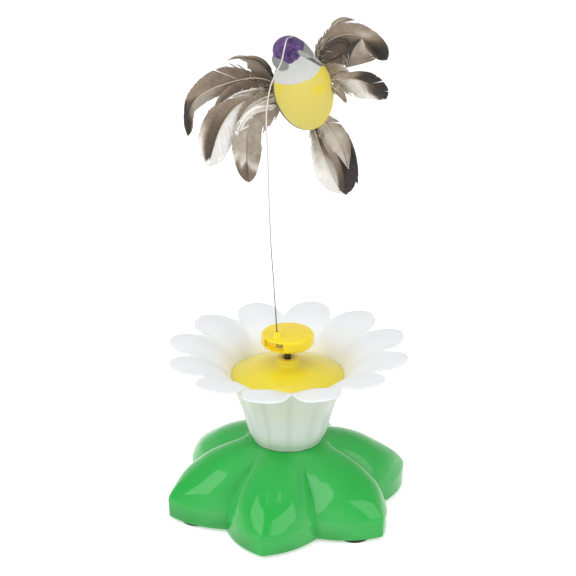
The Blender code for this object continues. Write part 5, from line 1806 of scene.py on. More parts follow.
@dataclass
class RotorDisc:
    """The yellow rotor: a thick disc with rounded edges, a flared wire boss and a recess, in millimetres."""

    radius: float = 13.45
    low_z: float = 90.35
    top_z: float = 96.7
    edge: float = 1.5
    boss_at: tuple[float, float] = (-5.3, -5.2)
    boss_r: float = 2.4
    boss_top_r: float = 1.8
    boss_top_z: float = 99.5
    wire_bore_r: float = 0.5
    flare_r: float = 0.65
    throat_z: float = 96.2
    recess_start: float = 10.5
    recess_w: float = 11.6
    recess_low_z: float = 91.9
    recess_h: float = 3.9
    recess_turn: float = math.radians(-125)
    bore_r: float = 1.95
    bore_l: float = 4.35
    sides: int = 96
    cutter_sides: int = 28
    boss_edge: float = 0.35
    flare: float = 0.5
    sunk: float = 0.05
    past: float = 1.0
    recess_corner: float = 1.0
    soft_edge: float = 0.22
    sharp: float = 40.0

    def cutter(self, name: str, profile: Profile, at: tuple[float, float] = (0, 0)) -> bpy.types.Object:
        """A turned cutter in the rotor's frame.

        Args:
            name: Its name.
            profile: Its radii and heights in millimetres.
            at: Its axis in millimetres.

        Returns:
            The cutter.
        """
        return add_object(name, turned_mesh(name, profile, self.cutter_sides, (at[0] * MM, at[1] * MM)))

    def build(self, shop: Workshop) -> None:
        """Turn the disc, add its boss, cut its bores and recess, and fit it.

        Args:
            shop: The workshop.
        """
        edge_r, low, top = self.radius - self.edge, self.low_z + self.edge, self.top_z - self.edge
        profile = [(0.0, self.top_z)] + arc_profile((edge_r, top), self.edge, 90, 0, 7)
        profile += arc_profile((edge_r, low), self.edge, 0, -90, 7) + [(0.0, self.low_z)]
        mesh = turned_mesh("rotor_disc_moulding", profile, self.sides)
        disc = add_object("rotor_disc_moulding", mesh, shop.palette.rotor)
        boss_top, lip = self.boss_top_z, self.boss_edge
        boss_profile = [(0.0, boss_top)]
        boss_profile += arc_profile((self.boss_top_r - lip, boss_top - lip), lip, 90, 10, 4)
        flare_r, foot_z = self.boss_r + self.flare, self.top_z - self.past
        boss_profile += [(self.boss_r, self.top_z + self.flare), (flare_r, self.top_z - self.sunk)]
        boss_profile += [(flare_r, foot_z), (0.0, foot_z)]
        boss = self.cutter("wire_boss", boss_profile, self.boss_at)
        shaft_top = self.low_z + self.bore_l
        below, above = self.low_z - self.past, boss_top + self.past
        shaft_bore = self.cutter("shaft_bore", rod_profile(self.bore_r, below, shaft_top))
        half_z = self.recess_low_z + self.recess_h / 2
        throat = [(0.0, above), (self.flare_r + 0.2, above), (self.flare_r, boss_top)]
        throat += [(self.wire_bore_r, self.throat_z), (self.wire_bore_r, half_z), (0.0, half_z)]
        wire_bore = self.cutter("wire_bore", throat, self.boss_at)
        work = bmesh.new()
        bmesh.ops.create_cube(work, size=1)
        long = self.radius + 2 - self.recess_start
        size = Vector((long, self.recess_w, self.recess_h)) * MM
        bmesh.ops.scale(work, vec=size, verts=work.verts)
        upright = [e for e in work.edges if abs(e.verts[0].co.z - e.verts[1].co.z) > self.recess_h * MM / 2]
        corner = self.recess_corner * MM
        bmesh.ops.bevel(work, geom=upright, offset=corner, segments=4, profile=0.5, affect="EDGES")
        place = Vector((self.recess_start + long / 2, 0, half_z)) * MM
        turn = Matrix.Rotation(self.recess_turn, 4, "Z")
        bmesh.ops.transform(work, matrix=turn @ Matrix.Translation(place), verts=work.verts)
        room = bpy.data.meshes.new("recess")
        work.to_mesh(room)
        work.free()
        recess = add_object("recess", room)
        modify(disc, "BOOLEAN", operation="UNION", solver="EXACT", object=boss)
        for cutter in (shaft_bore, recess, wire_bore):
            modify(disc, "BOOLEAN", operation="DIFFERENCE", solver="EXACT", object=cutter)
        settle(disc, boss, shaft_bore, recess, wire_bore)
        bends = {"limit_method": "ANGLE", "angle_limit": math.radians(50), "use_clamp_overlap": True}
        modify(disc, "BEVEL", width=self.soft_edge * MM, segments=2, **bends)
        settle(disc)
        disc.data.materials.clear()
        disc.data.materials.append(shop.palette.rotor)
        disc.data.transform(Matrix.Rotation(ROTOR_TURN, 4, "Z"))
        sharpen(disc, self.sharp)
        shop.fit(disc, Body.ROTOR, ["rotor_disc"])


@dataclass
class LureWire:
    """The spring wire: a hook in the rotor's recess and a long bow up to the bird's head, in millimetres."""

    radius: float = 0.37
    low_radius: float = 0.29
    throat: tuple[float, float, float] = (-5.3, -5.2, 96.2)
    hook: tuple[tuple[float, float, float], ...] = (
        (2.3, -6.8, -1.2),
        (2.3, -6.9, -2.2),
        (0.1, -6.5, -2.3),
        (0.0, -6.2, -1.5),
        (0.0, -1.2, -1.6),
        (0.0, 0.0, -0.9),
    )
    hook_points: int = 60
    bow_points: int = 220
    sides: int = 10
    fade: tuple[float, float] = (112.0, 212.0)
    bend: tuple[float, float] = (99.5, 190.0)
    reach: tuple[float, float, float] = (7.7, 5.8, 156.8)
    bow: tuple[tuple[float, float, float], ...] = (
        (-0.083, 0.0, 0.075),
        (-0.169, 0.0, 0.149),
        (-0.262, 0.0, 0.224),
        (-0.377, 0.0, 0.311),
        (-0.506, 0.0, 0.476),
        (-0.584, 0.0, 0.634),
        (-0.662, -0.017, 0.756),
        (-0.455, -0.121, 0.840),
        (-0.143, -0.276, 0.889),
        (0.299, -0.362, 0.937),
        (0.481, -0.207, 0.976),
        (0.662, 0.310, 1.002),
        (1.0, 1.0, 1.0),
    )

    def build(self, shop: Workshop) -> None:
        """Sweep the wire along its route and fit it.

        Args:
            shop: The workshop.
        """
        throat = Vector(self.throat)
        turn = [throat + Vector(place) for place in self.hook] + [throat]
        upper = [throat + Vector(share * size for share, size in zip(row, self.reach)) for row in self.bow]
        hook = even_route(turn, self.hook_points)
        stem = even_route([turn[-1], *upper], self.bow_points)
        places = np.vstack([hook[:-1], stem])
        low, high = self.fade
        radii = np.interp(places[:, 2], (low, high), (self.low_radius, self.radius)) * MM
        mesh = tube_mesh("lure_wire_drawn", [rotor_place(*place) for place in places], radii, self.sides)
        write_marks(mesh, low=[float(np.interp(v.co.z / MM, (low, high), (1.0, 0.0))) for v in mesh.vertices])
        wire = add_object("lure_wire_drawn", mesh, shop.palette.wire)
        start, end = (rotor_place(*self.throat[:2], height) for height in self.bend)
        shop.bend(wire, (start, end), ["lure_wire"], "steel")


@dataclass(frozen=True)
class Sight:
    """How the camera saw the bird: it turns given pixels into places of the rotor's frame, in millimetres.

    Args:
        distance: How far the camera stood from the point that it aimed at.
        upright: The cosine of its elevation.
        tilt: The sine of its elevation.
        focal: Its focal length in pixels.
        middle: The pixel that the point it aimed at falls on.
        aim: The height of that point.
        pixel: How wide a pixel is at the bird.
    """

    distance: float = 1244.2
    upright: float = 0.9116
    tilt: float = 0.4112
    focal: float = 2447.72
    middle: tuple[float, float] = (287.64, 326.35)
    aim: float = 100.0
    pixel: float = 0.508

    def place(self, across: float, down: float, depth: float) -> Row:
        """Find the place that shows at a pixel and stands at a depth.

        Args:
            across: The pixel's column.
            down: Its row.
            depth: How far behind the rotor's axis the place is.

        Returns:
            The place, to a tenth of a millimetre.
        """
        slope = (self.middle[1] - down) / self.focal
        reach = self.distance + self.upright * depth
        lift = (slope * reach - self.tilt * depth) / (self.upright + slope * self.tilt)
        away = reach - self.tilt * lift
        x = (across - self.middle[0]) * away / self.focal
        return (round(x, 1), round(depth, 1), round(lift + self.aim, 1))


SIGHT = Sight()
FRONT = Vector((0, -1, 0))
FRONT = Vector((0, -1, 0))


@dataclass(frozen=True)
class Feather:
    """One feather, as it was read off the photograph.

    Args:
        node: The solid that it stands for.
        picked: Pixels along its quill, from its root to its tip.
        depths: How far behind the rotor's axis its root and its tip are, in millimetres.
        wide: The share of its length, and how many pixels wide it is left and right of the quill there.
        tones: The share of its length, and the tones at the quill and at the edge, left and then right.
        slits: The side, 1 for left and -1 for right, and where a slit starts and ends.
        angle: The barbs' angle to the quill at its root, in degrees.
        rag: How ragged its far edge is.
        horn: The tone of its quill.
    """

    node: str
    picked: tuple[Row, ...]
    depths: tuple[float, float]
    wide: tuple[Row, ...]
    tones: tuple[Row, ...]
    slits: tuple[Row, ...] = ()
    angle: float = 52.0
    rag: float = 0.05
    horn: float = 0.3

    @functools.cached_property
    def route(self) -> list[Row]:
        """The places of its quill in the rotor's frame, in millimetres."""
        ways = [0.0]
        for (x, y), (next_x, next_y) in zip(self.picked, self.picked[1:]):
            ways.append(ways[-1] + math.hypot(next_x - x, next_y - y))
        root, tip = self.depths
        shares = [way / ways[-1] for way in ways]
        return [SIGHT.place(x, y, root + (tip - root) * share) for (x, y), share in zip(self.picked, shares)]

    @functools.cached_property
    def widths(self) -> list[Row]:
        """The share of its length, and how wide it is left and right of the quill there, in millimetres."""
        size = SIGHT.pixel
        return [(share, round(left * size, 1), round(right * size, 1)) for share, left, right in self.wide]


FEATHERS = (
    Feather(
        "wing_left_top",
        ((274, 82), (270, 73), (264, 65), (256, 59.5), (246, 57.5), (237, 57), (228, 60)),
        (14.6, 11),
        ((0, 3, 2), (0.12, 10, 3.5), (0.26, 17, 4.5), (0.42, 18, 5), (0.54, 12, 4), (0.66, 5.5, 3),
         (0.8, 3, 2.4), (1, 1.6, 1.2)),
        ((0, 0.75, 0.7, 0.9, 0.88), (0.3, 0.55, 0.46, 0.66, 0.58), (0.55, 0.48, 0.42, 0.48, 0.42),
         (1, 0.4, 0.36, 0.38, 0.34)),
        ((1, 0.2, 0.23),),
        rag=0.05, horn=0.85,
    ),
    Feather(
        "wing_left_main",
        ((272, 81.5), (262, 78.5), (252.7, 77.6), (242, 79), (225, 83.4), (210.7, 88.8), (198, 97),
         (191, 107), (188, 120), (188, 136)),
        (12.8, 8),
        ((0, 3, 2), (0.1, 8, 2.5), (0.2, 9.5, 7), (0.28, 9.5, 14), (0.36, 10, 17), (0.5, 12, 16),
         (0.62, 13, 12), (0.72, 12, 8), (0.8, 9, 5.5), (0.88, 7.5, 4.5), (0.95, 7, 4), (1, 5, 4)),
        ((0, 0.75, 0.7, 0.8, 0.7), (0.15, 0.62, 0.56, 0.68, 0.56), (0.3, 0.5, 0.45, 0.58, 0.5),
         (0.5, 0.38, 0.32, 0.55, 0.48), (0.64, 0.34, 0.28, 0.5, 0.5), (0.69, 0.34, 0.28, 0.8, 1),
         (0.78, 0.5, 0.35, 1, 1), (0.86, 0.95, 0.5, 1, 1), (1, 1, 1, 1, 1)),
        ((-1, 0.13, 0.14), (-1, 0.27, 0.28)),
        rag=0.08, horn=0, angle=38,
    ),
    Feather(
        "wing_left_inner",
        ((275, 85), (262, 85.5), (248, 87), (234, 91), (223, 98), (213.5, 109)),
        (11.4, 6.9),
        ((0, 5, 3), (0.15, 9, 6), (0.35, 9, 7), (0.5, 7, 8), (0.65, 5, 7), (0.8, 4, 5), (0.92, 2.5, 3),
         (1, 1.5, 1.5)),
        ((0, 0.85, 0.75, 0.8, 0.75), (0.25, 0.75, 0.55, 0.7, 0.62), (0.45, 0.66, 0.35, 0.68, 0.6),
         (0.7, 0.6, 0.35, 0.62, 0.5), (1, 0.5, 0.42, 0.5, 0.4)),
        ((1, 0.3, 0.34), (1, 0.44, 0.47)),
        rag=0.2, horn=0.7, angle=40,
    ),
    Feather(
        "wing_left_low",
        ((275, 96), (262, 97), (250, 99.5), (238, 105), (228.5, 114.5), (220, 128.5), (213.5, 147),
         (208, 166)),
        (9.1, 4),
        ((0, 4, 3), (0.12, 8, 4), (0.25, 12, 6), (0.36, 15, 9), (0.46, 18, 13.5), (0.56, 20, 18),
         (0.68, 20, 18), (0.8, 17.5, 16.5), (0.9, 14, 14), (1, 10, 9)),
        ((0, 0.3, 0.25, 0.45, 0.35), (0.2, 0.18, 0.12, 0.42, 0.36), (0.32, 0.08, 0.06, 0.5, 0.45),
         (0.44, 0.06, 0.05, 0.6, 0.5), (0.56, 0.05, 0.04, 0.7, 0.34), (0.66, 0.04, 0.04, 0.8, 0.06),
         (0.8, 0.04, 0.04, 0.88, 0.02), (0.9, 0.04, 0.03, 0.9, 0.02), (0.93, 0.02, 0.02, 0.1, 0.02),
         (1, 0.02, 0.02, 0.02, 0.02)),
        horn=0.02, rag=0.02,
    ),
    Feather(
        "wing_left_front",
        ((284, 97), (271, 102), (259, 110), (251, 122), (247.5, 136), (246.8, 152), (247.3, 166),
         (249, 182)),
        (7.5, 2),
        ((0, 8, 3), (0.12, 19, 4), (0.25, 25, 6), (0.38, 23, 10), (0.5, 19, 13), (0.62, 18.5, 14.5),
         (0.72, 16, 14), (0.82, 13, 12), (0.92, 10, 9.5), (1, 8, 8)),
        ((0, 0.48, 0.42, 0.42, 0.3), (0.15, 0.44, 0.44, 0.35, 0.2), (0.35, 0.4, 0.42, 0.35, 0.22),
         (0.5, 0.4, 0.42, 0.4, 0.4), (0.57, 0.4, 0.42, 0.4, 0.38), (0.61, 0.4, 0.42, 0.38, 0.26),
         (0.65, 0.4, 0.42, 0.36, 0.24), (0.69, 0.4, 0.38, 0.34, 0.52), (0.72, 0.38, 0.26, 0.3, 0.58),
         (0.75, 0.34, 0.22, 0.24, 0.62), (0.78, 0.26, 0.26, 0.24, 0.64), (0.8, 0.24, 0.42, 0.44, 0.64),
         (0.82, 0.32, 0.48, 0.6, 0.64), (0.86, 0.5, 0.52, 0.64, 0.64), (1, 0.62, 0.64, 0.76, 0.74)),
        ((-1, 0.34, 0.36), (-1, 0.43, 0.45)),
        horn=0.5, rag=0.03,
    ),
    Feather(
        "wing_right_top",
        ((330, 34), (335, 24), (343, 19), (355, 20)),
        (14.8, 19.9),
        ((0, 2, 3), (0.3, 3.5, 6), (0.7, 3, 5), (1, 0.8, 1)),
        ((0, 0.45, 0.42, 0.4, 0.3), (1, 0.42, 0.4, 0.28, 0.2)),
        horn=0.35, rag=0.3,
    ),
    Feather(
        "wing_right_main",
        ((321, 60), (323, 50), (329, 41), (340, 35), (353, 34), (366, 39), (377, 48), (387, 60)),
        (12.8, 18.1),
        ((0, 4, 4), (0.12, 8, 9), (0.28, 10, 14), (0.42, 11, 15), (0.58, 11.5, 14), (0.72, 11, 13),
         (0.85, 10, 11), (1, 7, 8)),
        ((0, 0.6, 0.55, 0.55, 0.45), (0.25, 0.5, 0.5, 0.48, 0.42), (0.45, 0.46, 0.46, 0.42, 0.38),
         (0.6, 0.36, 0.4, 0.4, 0.34), (0.68, 0.5, 0.6, 0.7, 0.4), (0.76, 0.9, 0.9, 0.95, 0.7),
         (0.84, 1, 1, 1, 0.95), (1, 1, 1, 1, 1)),
        ((-1, 0.36, 0.37),),
        horn=0.42, rag=0.05,
    ),
    Feather(
        "wing_right_arc",
        ((321, 62), (323, 54), (328.5, 46.5), (336, 42), (343, 42.5), (348, 48), (349.5, 56), (346, 66)),
        (10.7, 12),
        ((0, 2.5, 5), (0.12, 3, 16), (0.28, 4, 24), (0.45, 4.5, 27), (0.6, 5, 26), (0.75, 5, 22),
         (0.9, 4, 14), (1, 2, 6)),
        ((0, 0.95, 0.95, 0.85, 0.6), (0.3, 0.9, 0.9, 0.82, 0.55), (0.6, 0.9, 0.9, 0.78, 0.45),
         (1, 0.95, 0.95, 0.8, 0.45)),
        ((-1, 0.5, 0.51),),
        horn=0.85, rag=0.05, angle=60,
    ),
    Feather(
        "wing_right_mid",
        ((347.5, 67), (348.3, 60), (350.5, 53), (355, 45.5), (361.5, 38)),
        (8.7, 8.7),
        ((0, 2.5, 26), (0.12, 3, 31), (0.3, 4, 28), (0.5, 5.5, 20), (0.7, 5, 13), (0.88, 2, 7), (1, 1, 2)),
        ((0, 0.9, 0.9, 0.5, 0.6), (0.2, 1, 1, 0.5, 0.62), (0.4, 1, 1, 0.42, 0.44), (0.7, 1, 1, 0.4, 0.34),
         (1, 1, 1, 0.5, 0.34)),
        horn=1, rag=0.03, angle=74,
    ),
    Feather(
        "wing_right_low",
        ((331, 80), (345, 78.5), (357, 79), (368, 83), (378, 90), (386, 99)),
        (6.9, 6.9),
        ((0, 4, 9), (0.15, 6, 15), (0.3, 7, 20), (0.46, 9.5, 22), (0.6, 11.5, 19), (0.74, 11, 14),
         (0.88, 9, 10), (1, 7, 6)),
        ((0, 0.5, 0.45, 0.5, 0.42), (0.2, 0.42, 0.42, 0.32, 0.26), (0.34, 0.5, 0.6, 0.2, 0.14),
         (0.42, 0.95, 1, 0.2, 0.1), (0.55, 1, 1, 0.4, 0.08), (0.64, 1, 1, 0.8, 0.06), (0.74, 1, 1, 1, 0.3),
         (0.82, 1, 1, 1, 1), (1, 1, 1, 1, 1)),
        ((1, 0.62, 0.64), (1, 0.8, 0.82), (-1, 0.88, 0.9)),
        horn=0.5, rag=0.1, angle=60,
    ),
    Feather(
        "wing_right_down",
        ((331, 86), (337, 89), (342, 95), (346.5, 103)),
        (4.8, 3.8),
        ((0, 6, 7), (0.3, 5.5, 6.5), (0.6, 3.8, 4.2), (0.85, 2.8, 3), (1, 2.2, 2.2)),
        ((0, 0.5, 0.42, 0.5, 0.42), (1, 0.45, 0.4, 0.45, 0.4)),
        horn=0.45, rag=0.1,
    ),
    Feather(
        "tail_light",
        ((313, 126), (317, 138), (323, 153), (331, 171), (342, 194)),
        (13, 15),
        ((0, 4, 5), (0.15, 8, 8), (0.35, 11, 12), (0.55, 12, 15.5), (0.72, 10, 16), (0.84, 8, 13),
         (0.93, 5, 9), (1, 3, 5)),
        ((0, 0.65, 0.6, 0.5, 0.2), (0.25, 0.6, 0.5, 0.34, 0.1), (0.4, 0.4, 0.4, 0.22, 0.05),
         (0.52, 0.2, 0.25, 0.12, 0.04), (0.7, 0.1, 0.14, 0.08, 0.03), (1, 0.06, 0.06, 0.06, 0.02)),
        horn=0.12, rag=0.03,
    ),
    Feather(
        "tail_front",
        ((318, 116), (327, 126), (336, 138), (343, 151), (348.8, 169)),
        (7.7, 8.1),
        ((0, 9, 7), (0.2, 12, 10), (0.42, 12.5, 11.5), (0.6, 10.5, 10), (0.78, 6.5, 6.5), (0.9, 3.4, 3.6),
         (1, 1.5, 1.5)),
        ((0, 0.42, 0.4, 0.36, 0.42), (0.4, 0.34, 0.42, 0.28, 0.34), (0.8, 0.38, 0.46, 0.32, 0.36),
         (1, 0.38, 0.4, 0.34, 0.36)),
        ((1, 0.12, 0.13),),
        horn=0.36, rag=0.03,
    ),
    Feather(
        "tail_side",
        ((338, 124), (346, 136), (352, 150), (355.5, 166), (357.5, 184)),
        (11.2, 12.4),
        ((0, 3, 3), (0.3, 3.5, 6), (0.6, 3.4, 9), (0.8, 2.8, 9), (0.93, 2, 6), (1, 1.4, 2)),
        ((0, 0.4, 0.4, 0.4, 0.4), (0.3, 0.6, 0.6, 0.6, 0.6), (0.42, 0.95, 1, 0.9, 0.9), (1, 1, 1, 1, 1)),
        ((1, 0.86, 0.9),),
        horn=0.8, rag=0.12,
    ),
    Feather(
        "tail_mid",
        ((319, 126.5), (331, 144), (338.5, 157), (343.5, 173), (346, 195)),
        (9.3, 10.1),
        ((0, 5, 5), (0.2, 7, 7.5), (0.4, 11, 8), (0.6, 13, 8), (0.8, 12.5, 8), (0.93, 9, 7), (1, 6, 5)),
        ((0, 0.55, 0.5, 0.5, 0.5), (0.2, 0.8, 0.85, 0.45, 0.45), (0.38, 1, 1, 0.45, 0.5),
         (0.6, 1, 1, 0.62, 0.55), (0.78, 1, 1, 0.85, 0.75), (1, 1, 1, 1, 0.95)),
        ((1, 0.9, 0.92), (1, 0.78, 0.79)),
        horn=0.9, rag=0.06,
    ),
    Feather(
        "tuft_left_high",
        ((268, 90), (255, 91), (243, 93), (231, 97)),
        (9.6, 7.4),
        ((0, 5, 4), (0.4, 7, 4), (0.8, 5, 3), (1, 2, 2)),
        ((0, 0.62, 0.4, 0.55, 0.35), (0.5, 0.3, 0.06, 0.32, 0.12), (1, 0.12, 0.03, 0.18, 0.06)),
        ((1, 0.3, 0.36), (1, 0.5, 0.56), (-1, 0.6, 0.65), (1, 0.72, 0.78)),
        horn=0.7, rag=0.7, angle=38,
    ),
    Feather(
        "tuft_left_mid",
        ((274, 94), (262, 98), (251, 104), (242, 114), (236, 124)),
        (8.2, 5.6),
        ((0, 5, 4), (0.3, 7, 6), (0.6, 5, 6), (0.85, 3, 4), (1, 1, 1)),
        ((0, 0.45, 0.3, 0.6, 0.5), (0.4, 0.2, 0.1, 0.55, 0.45), (1, 0.06, 0.03, 0.5, 0.4)),
        ((1, 0.3, 0.33), (-1, 0.5, 0.54), (1, 0.62, 0.66)),
        horn=0.3, rag=0.5, angle=38,
    ),
    Feather(
        "tuft_left_white",
        ((276, 106), (264, 107), (254, 110), (246, 117), (240, 127), (237, 136)),
        (5.6, 3.6),
        ((0, 4, 2), (0.3, 6, 3), (0.6, 6, 3), (0.85, 4, 2.5), (1, 1.5, 1.5)),
        ((0, 0.2, 0.12, 0.1, 0.05), (0.5, 0.08, 0.04, 0.05, 0.03), (1, 0.06, 0.03, 0.05, 0.03)),
        ((1, 0.4, 0.43), (1, 0.55, 0.58), (1, 0.7, 0.73)),
        horn=0.1, rag=0.5, angle=36,
    ),
    Feather(
        "tuft_right_high",
        ((317, 60), (319, 52), (323, 45), (329, 38), (334, 33)),
        (12.4, 14.6),
        ((0, 3, 4), (0.3, 5, 5), (0.7, 4.5, 5), (1, 2, 2)),
        ((0, 0.6, 0.5, 0.45, 0.3), (0.5, 0.5, 0.35, 0.35, 0.2), (1, 0.4, 0.2, 0.3, 0.15)),
        ((1, 0.3, 0.35), (1, 0.55, 0.6), (-1, 0.45, 0.5)),
        horn=0.5, rag=0.6, angle=40,
    ),
    Feather(
        "tuft_right_low",
        ((323, 76), (331, 73), (340, 71), (349, 72)),
        (9.9, 8.4),
        ((0, 9, 10), (0.3, 11, 12), (0.6, 10, 9), (0.85, 6, 5), (1, 3, 3)),
        ((0, 0.6, 0.5, 0.55, 0.42), (0.5, 0.46, 0.38, 0.4, 0.3), (1, 0.36, 0.25, 0.3, 0.2)),
        ((-1, 0.6, 0.64),),
        horn=0.5, rag=0.35, angle=55,
    ),
    Feather(
        "tuft_right_brown",
        ((319, 66), (326, 61.5), (334, 58.5), (341, 57), (348.5, 57.5)),
        (11.4, 12.6),
        ((0, 5, 4), (0.25, 12, 8), (0.55, 12, 10), (0.85, 8, 9), (1, 5, 6)),
        ((0, 0.8, 0.7, 0.62, 0.5), (0.4, 0.7, 0.6, 0.6, 0.5), (1, 0.74, 0.8, 0.6, 0.62)),
        horn=0.8, rag=0.12, angle=62,
    ),
    Feather(
        "tuft_left_dark",
        ((278, 86), (272, 89.5), (266, 93), (260, 95)),
        (10.6, 8.6),
        ((0, 7, 6), (0.4, 8, 6), (0.8, 5, 4), (1, 2, 2)),
        ((0, 0.9, 0.85, 0.9, 0.85), (0.5, 0.75, 0.62, 0.78, 0.7), (1, 0.5, 0.4, 0.6, 0.5)),
        horn=0.9, rag=0.25, angle=40,
    ),
    Feather(
        "tuft_left_root",
        ((281, 98), (275, 102), (270, 107), (266, 114)),
        (9.6, 7.2),
        ((0, 8, 6), (0.4, 11, 6), (0.8, 9, 4), (1, 4, 2)),
        ((0, 0.7, 0.6, 0.5, 0.3), (0.5, 0.55, 0.45, 0.4, 0.25), (1, 0.45, 0.42, 0.35, 0.3)),
        horn=0.5, rag=0.15, angle=48,
    ),
)


@dataclass
class Guides:
    """The points that barbs grow on, with the numbers that each of them carries."""

    points: list[Sequence[float]] = field(default_factory=list)
    marks: dict[str, list] = field(default_factory=dict)

    def add(self, point: Sequence[float], **numbers: object) -> None:
        """Add a point.

        Args:
            point: Its place in metres.
            numbers: What it carries, by name.
        """
        self.points.append(point)
        for name, value in numbers.items():
            self.marks.setdefault(name, []).append(value)

    def mesh(self, name: str) -> bpy.types.Mesh:
        """Store the points and their numbers in a mesh."""
        mesh = bpy.data.meshes.new(name)
        mesh.from_pydata([tuple(point) for point in self.points], [], [])
        write_marks(mesh, **self.marks)
        return mesh


